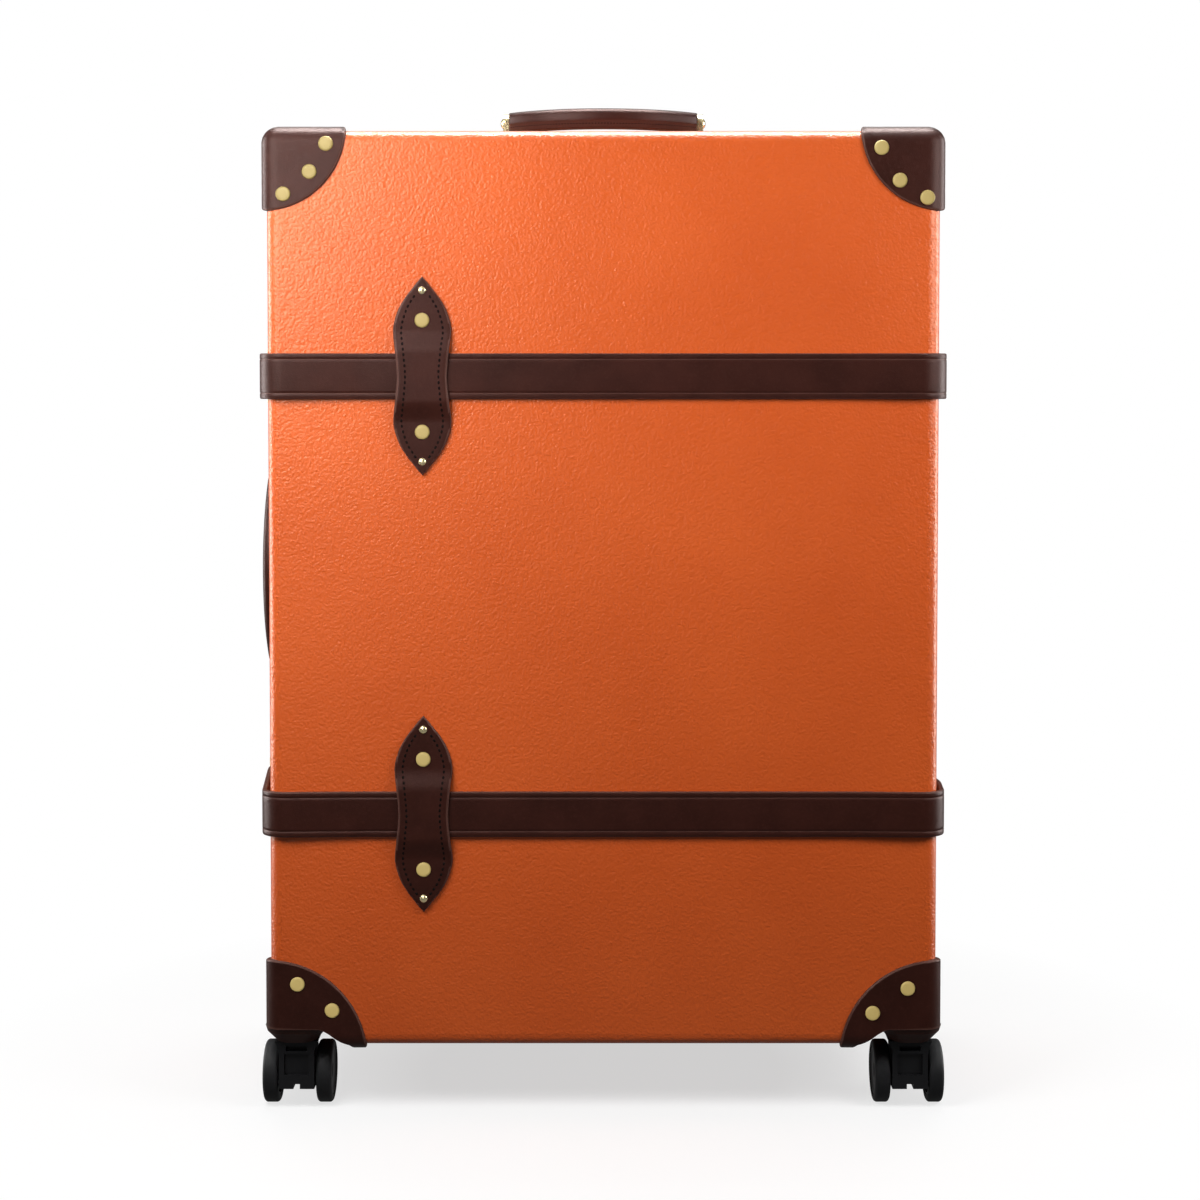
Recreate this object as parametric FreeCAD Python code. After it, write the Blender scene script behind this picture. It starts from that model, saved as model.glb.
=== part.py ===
import FreeCAD, Part
import math
import os

V = FreeCAD.Vector

# A large travel case that stands on four castors, in millimetres. X runs to the right as seen from the front,
# Y from the front to the back, Z up from the floor. The origin is on the floor below the middle of the case.

# Case
CASE_WIDTH = 532.0
CASE_HEIGHT = 728.0
CASE_DEPTH = 250.0
CASE_LIFT = 56.0
LID_DEPTH = 120.0
WALL = 2.5
EDGE_ROUND = 10.0
SEAM_GAP = 0.4

# Closing frames and linings
FRAME_THICK = 3.0
FRAME_WIDE = 15.0
TONGUE_REACH = 8.0
TONGUE_CLEAR = 0.8
FRAME_END_CLEAR = 1.0
LINING_THICK = 1.2
LINING_CLEAR = 0.2
LINING_BACK_CLEAR = 1.0

# Leather corners and rivets
LEATHER = 2.4
TOP_CORNER_REACH = 66.0
BOTTOM_CORNER_REACH = 78.0
BOTTOM_CORNER_INSET = 2.0
BOTTOM_CORNER_DROP = 6.0
RIVET_HEAD_R = 5.9
RIVET_HEAD_HIGH = 1.3
RIVET_SHANK_R = 2.2
RIVET_CLEAR = 0.1
NAIL_R = 3.2
NAIL_HIGH = 1.8

# Rivets of each corner, measured across and up or down from the corner of the leather
CORNER_RIVETS = {
    ("top", "left"): [(50.4, 13.4), (37.3, 35.3), (16.7, 52.8)],
    ("top", "right"): [(50.0, 16.6), (35.5, 42.1), (13.8, 55.6)],
    ("bottom", "left"): [(24.8, 53.2), (52.3, 32.1)],
    ("bottom", "right"): [(26.0, 49.8), (53.9, 30.0)],
}

# Straps, keepers and dress buckles
STRAP_WIDE = 36.0
STRAP_THICK = 4.0
STRAP_SPACING = 347.5
STRAP_DROP = 3.2
KEEPER_INSET = 123.2
KEEPER_THICK = 3.0
KEEPER_HALF_LONG = 78.2
KEEPER_LOBE_HALF_WIDE = 23.2
KEEPER_LOBE_Z = 33.5
KEEPER_WAIST_HALF_WIDE = 19.5
KEEPER_SHOULDER_HALF_WIDE = 18.1
KEEPER_SHOULDER_Z = 50.5
KEEPER_NECK_HALF_WIDE = 8.4
KEEPER_NECK_Z = 66.6
KEEPER_RIVET_Z = 44.0
KEEPER_NAIL_Z = 67.5
KEEPER_CLEAR = 0.3
BUCKLE_WIRE = 4.0
BUCKLE_LONG = 30.0
BUCKLE_MARGIN = 1.5
LOOP_GAP = 4.0
LOOP_WIDE = 12.0
LOOP_THICK = 2.2

# The straps' run in plan: depths from the front, and how far they stand off the side walls. At the left
# the buckle follows the bulge, and the tip follows the buckle.
FRONT_BEND = 11.0
SIDE_BEND = 90.0
RIGHT_STAND_OFF = 1.0
RIGHT_BULGE = 5.5
RIGHT_BULGE_DEPTH = 45.0
RIGHT_SETTLE_DEPTH = 95.0
LEFT_STAND_OFF = 1.0
LEFT_BULGE = 13.0
LEFT_BULGE_DEPTH = 92.0
BUCKLE_RUN = 36.0
TIP_RUN = 62.0
STRAP_SEAT_CLEAR = 0.1
STRAP_LAP_CLEAR = 1.2
BASE_TIP_INSET = 6.0
BUCKLE_CLEAR = 0.3

# Hinges
HINGE_LONG = 50.0
HINGE_SPACING = 276.0
HINGE_LEAF = 1.5
HINGE_LEAF_WIDE = 24.0
HINGE_BARREL_R = 3.2
HINGE_PIN_R = 1.6
RUN_CLEAR = 0.05
HINGE_CLEAR = 0.3

# Locks
LOCK_SPACING = 244.0
LOCK_HIGH = 40.0
LOCK_WIDE = 30.0
LOCK_THICK = 8.0
LOCK_SKIN = 2.0
LOCK_ROUND = 1.8
CATCH_THICK = 2.0
CATCH_TONGUE_HALF = 6.0
CATCH_TONGUE_REACH = 13.0
CATCH_CLEAR = 1.5
SLIDER_TRAVEL = 7.0
SLIDER_LONG = 13.0
SLIDER_WIDE = 14.0
SLIDER_THICK = 2.4
SLIDER_NECK_WIDE = 5.0
SLIDER_CLEAR = 0.3

# Carry handles
HANDLE_HALF_LONG = 80.0
HANDLE_BOW = 38.0
HANDLE_WIDE = 20.0
HANDLE_THICK = 16.5
HANDLE_ROUND = 5.0
HANDLE_FLANGE_HIGH = 6.0
HANDLE_FLANGE_HALF = 6.5
HANDLE_GAP = 14.5
HANDLE_SETBACK = 41.0
SIDE_HANDLE_BACK = 62.0
POST_THICK = 5.0
POST_HALF_WIDE = 8.0
POST_FOOT_HALF = 15.0
POST_FOOT_THICK = 2.0
POST_CLEAR = 0.4
HANDLE_PIN_R = 3.0
HANDLE_PIN_SEAT = 9.0
PIN_DOME_R = 4.6
PIN_DOME_HIGH = 2.4

# Trolley
TROLLEY_INSET = 21.0
TROLLEY_HALF_SPAN = 72.0
SLEEVE_WIDE = 22.0
SLEEVE_DEEP = 14.0
TUBE_WALL = 1.2
TUBE_CLEAR = 0.3
TUBE_ROUND = 3.0
TUBE_ROUND_LOSS = 0.4
SLEEVE_LONG = 400.0
STAGE_OVERLAP = 12.0
FOOT_HIGH = 26.0
FOOT_FLOOR = 4.0
FOOT_MARGIN = 4.0
PLATE_THICK = 1.5
PLATE_MARGIN = 9.0
GRIP_WIDE = 25.0
GRIP_HIGH = 11.5
GRIP_OVERHANG = 10.0
GRIP_ROUND = 5.0
GRIP_SEAT = 7.0
GRIP_CLEAR = 0.5
BUTTON_LONG = 26.0
BUTTON_WIDE = 10.0
BUTTON_PROUD = 2.0
BUTTON_TRAVEL = 3.0
BUTTON_DEEP = 4.0
BUTTON_CLEAR = 0.3

# Castors
CASTOR_INSET_X = 19.0
CASTOR_INSET_Y = 24.0
RECESS_HIGH = 14.0
RECESS_R = 32.0
RECESS_FLARE = 1.3
RECESS_OVERRUN = 6.0
HOUSING_TOP = 49.0
HOUSING_TOP_ROUND = 16.0
HOUSING_FOOT = 33.0
HOUSING_FOOT_ROUND = 14.0
HOUSING_HIGH = 13.5
HOUSING_LIP_HIGH = 4.5
HOUSING_LIP_TAPER = 2.25
KINGPIN_R = 5.0
KINGPIN_SEAT = 10.0
SWIVEL_CLEAR = 0.6
WHEEL_R = 25.0
WHEEL_WIDE = 12.5
WHEEL_SPREAD = 55.5
WHEEL_ROUND = 3.0
WHEEL_RIM = 6.0
WHEEL_DISC = 3.0
HUB_R = 7.0
SPOKE_COUNT = 6
SPOKE_WIDE = 3.0
AXLE_R = 3.0
AXLE_TRAIL = 14.0
WHEEL_CLEAR = 0.6
FORK_CLEAR = 1.0
FORK_TOP_HALF = 17.5
FORK_FRONT = 10.0
FORK_BOSS_R = 8.0
FORK_NOTCH_HALF = 2.6
FORK_NOTCH_HIGH = 4.0
FORK_SLOT_HALF = 8.5
FORK_SLOT_HIGH = 4.0
FORK_SLOT_DEEP = 6.0
FORK_BAR_HIGH = 2.5
FORK_PANEL_HALF = 10.0
FORK_PANEL_HIGH = 17.0
FORK_PANEL_DEEP = 3.0

# Places that follow from the sizes above
HALF_WIDTH = CASE_WIDTH / 2
FRONT_Y = -CASE_DEPTH / 2
BACK_Y = CASE_DEPTH / 2
BOTTOM_Z = CASE_LIFT
TOP_Z = CASE_LIFT + CASE_HEIGHT
MIDDLE_Z = CASE_LIFT + CASE_HEIGHT / 2
SEAM_Y = FRONT_Y + LID_DEPTH
LID_EDGE_Y = SEAM_Y - SEAM_GAP / 2
BASE_EDGE_Y = SEAM_Y + SEAM_GAP / 2
RECESS_Z = BOTTOM_Z + RECESS_HIGH
HANDLE_PIVOT_Y = SEAM_Y + HANDLE_SETBACK
TROLLEY_Y = BACK_Y - TROLLEY_INSET
TROLLEY_FRONT_Y = TROLLEY_Y - SLEEVE_DEEP / 2 - FOOT_MARGIN / 2
LINING_BACK_Y = TROLLEY_FRONT_Y - LINING_BACK_CLEAR
SLEEVE_Z = TOP_Z - SLEEVE_LONG
STAGE_STEP = TUBE_WALL + TUBE_CLEAR
PLATE_Z = TOP_Z + PLATE_THICK
GRIP_Z = PLATE_Z + GRIP_CLEAR
KEEPER_X = KEEPER_INSET - HALF_WIDTH
BUCKLE_DEPTH = LEFT_BULGE_DEPTH + BUCKLE_RUN
LEFT_TIP_DEPTH = BUCKLE_DEPTH + TIP_RUN
HINGE_X = HALF_WIDTH + HINGE_LEAF + HINGE_CLEAR + HINGE_BARREL_R
HANDLE_AXIS = HANDLE_GAP + HANDLE_THICK / 2
FAR = CASE_WIDTH + CASE_HEIGHT
STRAP_ROWS = {
    "upper": MIDDLE_Z - STRAP_DROP + STRAP_SPACING / 2,
    "lower": MIDDLE_Z - STRAP_DROP - STRAP_SPACING / 2,
}
SIDES = {"left": -1, "right": 1}
ENDS = {"front": -1, "rear": 1}

RIGHT = V(1, 0, 0)
AWAY = V(0, 1, 0)
UP = V(0, 0, 1)


def block(x, y, z):
    """A box between three pairs of limits."""
    return Part.makeBox(x[1] - x[0], y[1] - y[0], z[1] - z[0], V(x[0], y[0], z[0]))


def rod(radius, start, along):
    """A cylinder from a point, as long as the given vector."""
    return Part.makeCylinder(radius, along.Length, start, along)


def rounded_path(points, radii):
    """Edges along a polyline whose inner points are rounded by tangent arcs."""
    edges = []
    start = points[0]
    for before, point, after, radius in zip(points, points[1:], points[2:], radii):
        back = (before - point).normalize()
        ahead = (after - point).normalize()
        half_turn = back.getAngle(ahead) / 2
        reach = radius / math.tan(half_turn)
        middle = point + (back + ahead).normalize() * (radius / math.sin(half_turn) - radius)
        first = point + back * reach
        last = point + ahead * reach
        edges.append(Part.LineSegment(start, first).toShape())
        edges.append(Part.Arc(first, middle, last).toShape())
        start = last
    edges.append(Part.LineSegment(start, points[-1]).toShape())
    return edges


def band(points, radii, thick, normal, wide):
    """A strip bent along a polyline, growing to the right of its run, and wide along the normal."""
    runs = [(b - a).normalize() for a, b in zip(points, points[1:])]
    rights = [run.cross(normal) for run in runs]
    outer = [points[0] + rights[0] * thick]
    outer_radii = []
    for point, one, two, turn_a, turn_b, radius in zip(points[1:], rights, rights[1:], runs, runs[1:], radii):
        outer.append(point + (one + two) * (thick / (1 + one.dot(two))))
        turns_left = turn_a.cross(turn_b).dot(normal) > 0
        outer_radii.append(radius + thick if turns_left else radius - thick)
    outer.append(points[-1] + rights[-1] * thick)
    edges = rounded_path(points, radii) + rounded_path(outer, outer_radii)
    edges.append(Part.LineSegment(points[0], outer[0]).toShape())
    edges.append(Part.LineSegment(points[-1], outer[-1]).toShape())
    face = Part.Face(Part.Wire(Part.__sortEdges__(edges)))
    strip = face.extrude(normal * wide)
    strip.translate(normal * (-wide / 2))
    return strip


def rounded_wire(centre, wide, deep, corner):
    """A rounded rectangle in a level plane."""
    x = wide / 2
    y = deep / 2
    outline = [V(0, -y), V(x, -y), V(x, y), V(-x, y), V(-x, -y), V(0, -y)]
    edges = rounded_path([centre + point for point in outline], [corner] * 4)
    return Part.Wire(edges)


def rounded_prism(centre, wide, deep, corner, high):
    """An upright prism on a rounded rectangle."""
    return Part.Face(rounded_wire(centre, wide, deep, corner)).extrude(UP * high)


def case_solid(grow):
    """The whole case as one rounded block, grown outwards or inwards."""
    solid = block(
        (-HALF_WIDTH - grow, HALF_WIDTH + grow),
        (FRONT_Y - grow, BACK_Y + grow),
        (BOTTOM_Z - grow, TOP_Z + grow),
    )
    return solid.makeFillet(EDGE_ROUND + grow, solid.Edges)


def slab(y_from, y_to):
    """The space between two depths, wider and taller than the case."""
    return block((-FAR, FAR), (y_from, y_to), (-FAR, FAR))


def castor_place(side, end):
    """The foot of a castor's swivel axis on the floor."""
    return V(side * (HALF_WIDTH - CASTOR_INSET_X), end * (BACK_Y - CASTOR_INSET_Y), 0)


def recess(side, end, grow):
    """The flared pocket that a castor is set into."""
    foot_z = BOTTOM_Z - RECESS_OVERRUN
    high = RECESS_Z + grow - foot_z
    top_r = RECESS_R + grow
    return Part.makeCone(top_r + RECESS_FLARE * high, top_r, high, castor_place(side, end) + UP * foot_z)


def without_recesses(solid, grow):
    """A solid with the four castor pockets taken out."""
    pockets = [recess(side, end, grow) for side in SIDES.values() for end in ENDS.values()]
    return solid.cut(pockets)


def hollow(outside, inside):
    """The wall left between two growths of the case, following the castor pockets."""
    outer = without_recesses(case_solid(outside), -outside)
    inner = without_recesses(case_solid(inside), -inside)
    return outer.cut(inner)


def frame_ring(outside, inside, y_from, y_to):
    """A frame round the opening, between two growths of the case."""
    return case_solid(outside).cut(case_solid(inside)).common(slab(y_from, y_to))


def save(name, *solids):
    """Write one node, as a single solid or a group of separate solids."""
    shape = solids[0] if len(solids) == 1 else Part.makeCompound(list(solids))
    shape.exportStep("parts/" + name + ".step")


# Shells: two pressed fibre trays that meet at the seam

def sleeve_place(side):
    """The axis of one trolley leg."""
    return V(side * TROLLEY_HALF_SPAN, TROLLEY_Y, 0)


def make_shells():
    """The lid and the base, the base with the two openings for the trolley legs."""
    walls = hollow(0, -WALL)
    lid = walls.common(slab(FRONT_Y - FAR, LID_EDGE_Y))
    base = walls.common(slab(BASE_EDGE_Y, BACK_Y + FAR))
    for side in SIDES.values():
        foot = sleeve_place(side) + UP * (TOP_Z - 2 * WALL)
        base = base.cut(rounded_prism(foot, SLEEVE_WIDE, SLEEVE_DEEP, TUBE_ROUND, 3 * WALL))
    save("lid_shell", lid)
    save("base_shell", base)


def make_frames():
    """The lid's stiffening frame, and the base's frame with the tongue that closes inside the lid."""
    tongue_y = LID_EDGE_Y - TONGUE_REACH
    stop_y = tongue_y - FRAME_END_CLEAR
    inside = -WALL - FRAME_THICK
    tongue = frame_ring(-WALL - TONGUE_CLEAR, inside, tongue_y, BASE_EDGE_Y + FRAME_WIDE)
    seat = frame_ring(-WALL, inside, BASE_EDGE_Y, BASE_EDGE_Y + FRAME_WIDE)
    save("base_edge_frame", tongue.fuse(seat).removeSplitter())
    save("lid_edge_frame", frame_ring(-WALL, inside, stop_y - FRAME_WIDE, stop_y))


def make_linings():
    """The cloth-covered liners; the base's has a flat back in front of the trolley."""
    outside = -WALL - FRAME_THICK - LINING_CLEAR
    liner = hollow(outside, outside - LINING_THICK)
    save("lid_lining", liner.common(slab(FRONT_Y, LID_EDGE_Y - TONGUE_REACH)))
    walls = liner.common(slab(BASE_EDGE_Y, LINING_BACK_Y))
    panel = without_recesses(case_solid(outside), -outside)
    panel = panel.common(slab(LINING_BACK_Y - LINING_THICK, LINING_BACK_Y))
    save("base_lining", walls.fuse(panel).removeSplitter())


# Leather corners: fitted caps over the eight corners of the case, each held by flat rivets

def rivet(seat, out, shank):
    """A flat rivet whose head lies on a seat, with a shank that goes in below it."""
    edge = RIVET_HEAD_HIGH / 2
    head = rod(RIVET_HEAD_R, seat, out * RIVET_HEAD_HIGH)
    head = head.makeChamfer(edge, [e for e in head.Edges if e.CenterOfMass.distanceToPoint(seat) > edge])
    return head.fuse(rod(RIVET_SHANK_R, seat, out * -shank))


def rivet_hole(seat, out, deep):
    """The hole for a rivet's shank, through the leather below a seat."""
    return rod(RIVET_SHANK_R + RIVET_CLEAR, seat, out * -deep)


def make_corners():
    """Eight caps cut from one leather skin over the case, and their rivets."""
    skin = without_recesses(case_solid(LEATHER), 0).cut(case_solid(0))
    x = HALF_WIDTH + LEATHER
    y = BACK_Y + LEATHER
    for end_name, end in ENDS.items():
        half = "lid" if end < 0 else "base"
        out = AWAY * end
        rivets = []
        caps = []
        for (level, side_name), seats in CORNER_RIVETS.items():
            up = 1 if level == "top" else -1
            z = TOP_Z + LEATHER if up > 0 else BOTTOM_Z - LEATHER
            side = SIDES[side_name]
            corner = V(side * x, end * y, z)
            ball = Part.makeSphere(TOP_CORNER_REACH, corner)
            if up < 0:
                inset = V(side * BOTTOM_CORNER_INSET, end * BOTTOM_CORNER_INSET, BOTTOM_CORNER_DROP)
                ball = Part.makeSphere(BOTTOM_CORNER_REACH, corner - inset)
            cap = skin.common(ball)
            for across, along in seats:
                seat = V(side * (x - across), end * y, z - up * along)
                cap = cap.cut(rivet_hole(seat, out, LEATHER))
                rivets.append(rivet(seat, out, LEATHER))
            caps.append(cap)
            if half == "lid":
                save("_".join([half, "corner", level, side_name]), cap)
        if half == "base":
            save("base_corners", *caps)
        yield half, rivets


# Straps: leather bands round both halves, parted at the hinges and under the dress buckle at the left


def lid_strap_points():
    """The strap's inner face in plan, from the hinge side round the front to the tip at the left."""
    lap = STRAP_THICK + STRAP_LAP_CLEAR
    return [
        V(HALF_WIDTH, LID_EDGE_Y),
        V(HALF_WIDTH, FRONT_Y + RIGHT_SETTLE_DEPTH),
        V(HALF_WIDTH + RIGHT_BULGE, FRONT_Y + RIGHT_BULGE_DEPTH),
        V(HALF_WIDTH + RIGHT_STAND_OFF, FRONT_Y),
        V(-HALF_WIDTH - LEFT_STAND_OFF, FRONT_Y),
        V(-HALF_WIDTH - LEFT_BULGE, FRONT_Y + LEFT_BULGE_DEPTH),
        V(-HALF_WIDTH - lap, FRONT_Y + LEFT_TIP_DEPTH),
    ]


def base_strap_points():
    """The strap's inner face in plan, from beneath the tip at the left round the back to the hinge side."""
    return [
        V(-HALF_WIDTH, BASE_EDGE_Y + BASE_TIP_INSET),
        V(-HALF_WIDTH, BACK_Y),
        V(HALF_WIDTH, BACK_Y),
        V(HALF_WIDTH, BASE_EDGE_Y),
    ]


def strap(points, radii, z):
    """A strap at one height, on the outside of the given plan."""
    plan = [point + UP * z for point in reversed(points)]
    return band(plan, list(reversed(radii)), STRAP_THICK, UP, STRAP_WIDE)


def keeper(z):
    """A spindle of leather that holds the strap to the lid, arched over it and flat at both ends."""
    half = KEEPER_HALF_LONG
    arch = STRAP_WIDE / 2 + KEEPER_CLEAR
    ramp = arch + STRAP_THICK
    rise = FRONT_Y - STRAP_THICK - KEEPER_CLEAR
    run = [(FRONT_Y, half), (FRONT_Y, ramp), (rise, arch), (rise, -arch), (FRONT_Y, -ramp), (FRONT_Y, -half)]
    path = [V(KEEPER_X, y, z + dz) for y, dz in run]
    bend = KEEPER_THICK + KEEPER_CLEAR
    sheet = band(path, [bend] * 4, KEEPER_THICK, RIGHT, 4 * KEEPER_LOBE_HALF_WIDE)
    upper = [
        (0, half),
        (KEEPER_NECK_HALF_WIDE, KEEPER_NECK_Z),
        (KEEPER_SHOULDER_HALF_WIDE, KEEPER_SHOULDER_Z),
        (KEEPER_LOBE_HALF_WIDE, KEEPER_LOBE_Z),
    ]
    lower = [(x, -up) for x, up in reversed(upper)]
    right = upper + [(KEEPER_WAIST_HALF_WIDE, 0)] + lower
    edges = []
    for flip in (1, -1):
        side = Part.BSplineCurve()
        side.interpolate([V(KEEPER_X + flip * dx, FRONT_Y, z + dz) for dx, dz in right])
        edges.append(side.toShape())
    outline = Part.Face(Part.Wire(Part.__sortEdges__(edges))).extrude(AWAY * -FAR)
    return sheet.common(outline)


def keeper_seats(z):
    """The seats of a keeper's two rivets and two nails."""
    face = FRONT_Y - KEEPER_THICK
    rivets = [V(KEEPER_X, face, z + up * KEEPER_RIVET_Z) for up in (1, -1)]
    nails = [V(KEEPER_X, face, z + up * KEEPER_NAIL_Z) for up in (1, -1)]
    return rivets, nails


def nail(seat):
    """A small domed nail head."""
    ball_r = (NAIL_R ** 2 + NAIL_HIGH ** 2) / (2 * NAIL_HIGH)
    ball = Part.makeSphere(ball_r, seat + AWAY * (ball_r - NAIL_HIGH))
    return ball.common(slab(seat.y - FAR, seat.y))


def make_straps(lid_rivets):
    """Both straps in two halves, with keepers, dress buckles, tongues and loops."""
    lid_points = lid_strap_points()
    bulge, tip = lid_points[-2:]
    run = (tip - bulge).normalize()
    out = UP.cross(run)
    frames = []
    tongues = []
    loops = []
    nails = []
    for row, z in STRAP_ROWS.items():
        bends = [SIDE_BEND, SIDE_BEND, FRONT_BEND, FRONT_BEND, SIDE_BEND]
        save("lid_strap_" + row, strap(lid_points, bends, z))
        round_back = [EDGE_ROUND - STRAP_SEAT_CLEAR] * 2
        save("base_strap_" + row, strap(base_strap_points(), round_back, z))
        holder = keeper(z)
        rivet_seats, nail_seats = keeper_seats(z)
        for seat in rivet_seats:
            holder = holder.cut(rivet_hole(seat, AWAY * -1, KEEPER_THICK))
            lid_rivets.append(rivet(seat, AWAY * -1, KEEPER_THICK))
        save("keeper_" + row, holder)
        nails += [nail(seat) for seat in nail_seats]
        start = bulge + run * ((FRONT_Y + BUCKLE_DEPTH - bulge.y) / run.y) + UP * z
        skin = start + out * (STRAP_THICK + BUCKLE_CLEAR)
        frames.append(buckle_frame(skin, run, out))
        tongues.append(buckle_tongue(skin, run, out))
        loops.append(strap_loop(start + run * (BUCKLE_LONG + LOOP_GAP), run, out))
    save("strap_buckles", *frames, *tongues)
    save("strap_loops", *loops)
    save("keeper_nails", *nails)


def turned(solid, place, run, out):
    """A solid made along X with its outside towards -Y, set on a strap along a run."""
    turn = FreeCAD.Rotation(run, out * -1, UP, "XYZ")
    solid.Placement = FreeCAD.Placement(place, turn)
    return solid


def buckle_frame(place, run, out):
    """A square brass frame that lies on the strap."""
    half = STRAP_WIDE / 2 + BUCKLE_MARGIN + BUCKLE_WIRE
    wire = BUCKLE_WIRE
    frame = block((0, BUCKLE_LONG), (-wire, 0), (-half, half))
    window = block((wire, BUCKLE_LONG - wire), (-2 * wire, wire), (wire - half, half - wire))
    frame = frame.makeFillet(wire / 3, frame.Edges)
    return turned(frame.cut(window), place, run, out)


def buckle_tongue(place, run, out):
    """The buckle's tongue, a round pin that lies between the two bars of the frame."""
    wire = BUCKLE_WIRE
    reach = BUCKLE_LONG - 2 * wire - 2 * BUCKLE_CLEAR
    pin = rod(wire / 3, V(wire + BUCKLE_CLEAR, -wire / 2, 0), RIGHT * reach)
    return turned(pin, place, run, out)


def strap_loop(place, run, out):
    """The fixed leather loop round the strap, past its buckle."""
    x = (0, LOOP_WIDE)
    half = STRAP_WIDE / 2 + BUCKLE_CLEAR
    inside = block(x, (-STRAP_THICK - BUCKLE_CLEAR, BUCKLE_CLEAR), (-half, half))
    outside = block(x, (-STRAP_THICK - LOOP_THICK, LOOP_THICK), (-half - LOOP_THICK, half + LOOP_THICK))
    return turned(outside.cut(inside), place, run, out)


# Hinges: three brass butt hinges on the right, whose barrels stand clear of the wall

def hinge_leaf(z, end, barrels):
    """One leaf of a hinge, with the stretches of barrel that belong to it."""
    edge = SEAM_Y + end * HINGE_CLEAR
    far = SEAM_Y + end * HINGE_LEAF_WIDE
    high = (z - HINGE_LONG / 2, z + HINGE_LONG / 2)
    leaf = block((HALF_WIDTH, HALF_WIDTH + HINGE_LEAF), sorted((edge, far)), high)
    bore = rod(HINGE_PIN_R + RUN_CLEAR, V(HINGE_X, SEAM_Y, high[0]), UP * HINGE_LONG)
    for low, top in barrels:
        barrel = rod(HINGE_BARREL_R, V(HINGE_X, SEAM_Y, z + low), UP * (top - low))
        web_y = sorted((SEAM_Y + end * HINGE_CLEAR, SEAM_Y + end * HINGE_BARREL_R))
        web = block((HALF_WIDTH, HINGE_X), web_y, (z + low, z + top))
        leaf = leaf.fuse([barrel, web])
    return leaf.cut(bore).removeSplitter()


def make_hinges():
    """Base leaves with the outer barrels, lid leaves with the middle barrel, and the pins."""
    sixth = HINGE_LONG / 6
    half = HINGE_LONG / 2
    middle = [(-sixth + HINGE_CLEAR, sixth - HINGE_CLEAR)]
    outer = [(-half, -sixth), (sixth, half)]
    rows = [MIDDLE_Z + step * HINGE_SPACING for step in (-1, 0, 1)]
    save("hinge_leaves_lid", *[hinge_leaf(z, -1, middle) for z in rows])
    save("hinge_leaves_base", *[hinge_leaf(z, 1, outer) for z in rows])
    save("hinge_pins", *[rod(HINGE_PIN_R, V(HINGE_X, SEAM_Y, z - half), UP * HINGE_LONG) for z in rows])


# Locks: a case with a thumb slider on the base, and a catch on the lid that reaches into it

def make_locks():
    """Two locks on the left, above and below the side handle."""
    wall = -HALF_WIDTH
    face = wall - LOCK_THICK
    y = (BASE_EDGE_Y + HINGE_CLEAR, BASE_EDGE_Y + LOCK_WIDE)
    y_mid = (y[0] + y[1]) / 2
    cases = []
    catches = []
    for row, up in (("upper", 1), ("lower", -1)):
        z = MIDDLE_Z + up * LOCK_SPACING / 2
        high = (z - LOCK_HIGH / 2, z + LOCK_HIGH / 2)
        case = block((face, wall), y, high)
        outer_edges = [edge for edge in case.Edges if edge.CenterOfMass.x < face + LOCK_SKIN / 2]
        case = case.makeFillet(LOCK_ROUND, outer_edges)
        room = CATCH_TONGUE_HALF + CATCH_CLEAR
        mouth_y = (y[0] - LOCK_WIDE, BASE_EDGE_Y + CATCH_TONGUE_REACH + CATCH_CLEAR)
        mouth_x = (face + LOCK_SKIN, wall - HINGE_CLEAR)
        case = case.cut(block(mouth_x, mouth_y, (z - room, z + room)))
        neck_z = (z - SLIDER_LONG / 2 - SLIDER_CLEAR, z + SLIDER_LONG / 2 + SLIDER_TRAVEL + SLIDER_CLEAR)
        neck_half = SLIDER_NECK_WIDE / 2
        neck_y = (y_mid - neck_half - SLIDER_CLEAR, y_mid + neck_half + SLIDER_CLEAR)
        case = case.cut(block((face - LOCK_SKIN, face + LOCK_SKIN), neck_y, neck_z))
        cases.append(case)
        knob_x = (face - SLIDER_THICK - SLIDER_CLEAR, face - SLIDER_CLEAR)
        knob_y = (y_mid - SLIDER_WIDE / 2, y_mid + SLIDER_WIDE / 2)
        long_z = (z - SLIDER_LONG / 2, z + SLIDER_LONG / 2)
        knob = block(knob_x, knob_y, long_z)
        rim = [edge for edge in knob.Edges if edge.CenterOfMass.x < knob_x[0] + SLIDER_CLEAR]
        knob = knob.makeChamfer(SLIDER_THICK / 3, rim)
        neck_x = (knob_x[1] - SLIDER_CLEAR, face + LOCK_SKIN - SLIDER_CLEAR)
        neck = block(neck_x, (y_mid - neck_half, y_mid + neck_half), long_z)
        save("lock_slider_" + row, knob.fuse(neck).removeSplitter())
        plate_y = (LID_EDGE_Y - LOCK_WIDE, LID_EDGE_Y - HINGE_CLEAR)
        plate = block((wall - CATCH_THICK, wall), plate_y, high)
        tongue_mid = (mouth_x[0] + mouth_x[1]) / 2
        tongue_x = (tongue_mid - CATCH_THICK / 2, tongue_mid + CATCH_THICK / 2)
        half = CATCH_TONGUE_HALF
        tongue_y = (LID_EDGE_Y - LOCK_WIDE / 2, BASE_EDGE_Y + CATCH_TONGUE_REACH)
        tongue = block(tongue_x, tongue_y, (z - half, z + half))
        root_y = (LID_EDGE_Y - LOCK_WIDE / 2, LID_EDGE_Y - HINGE_CLEAR)
        root = block((tongue_x[0], wall), root_y, (z - half, z + half))
        catches.append(plate.fuse([tongue, root]).removeSplitter())
    save("lock_cases", *cases)
    save("lock_catches", *catches)


# Carry handles: a bowed leather grip that folds flat towards the front, between two brass posts

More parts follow.
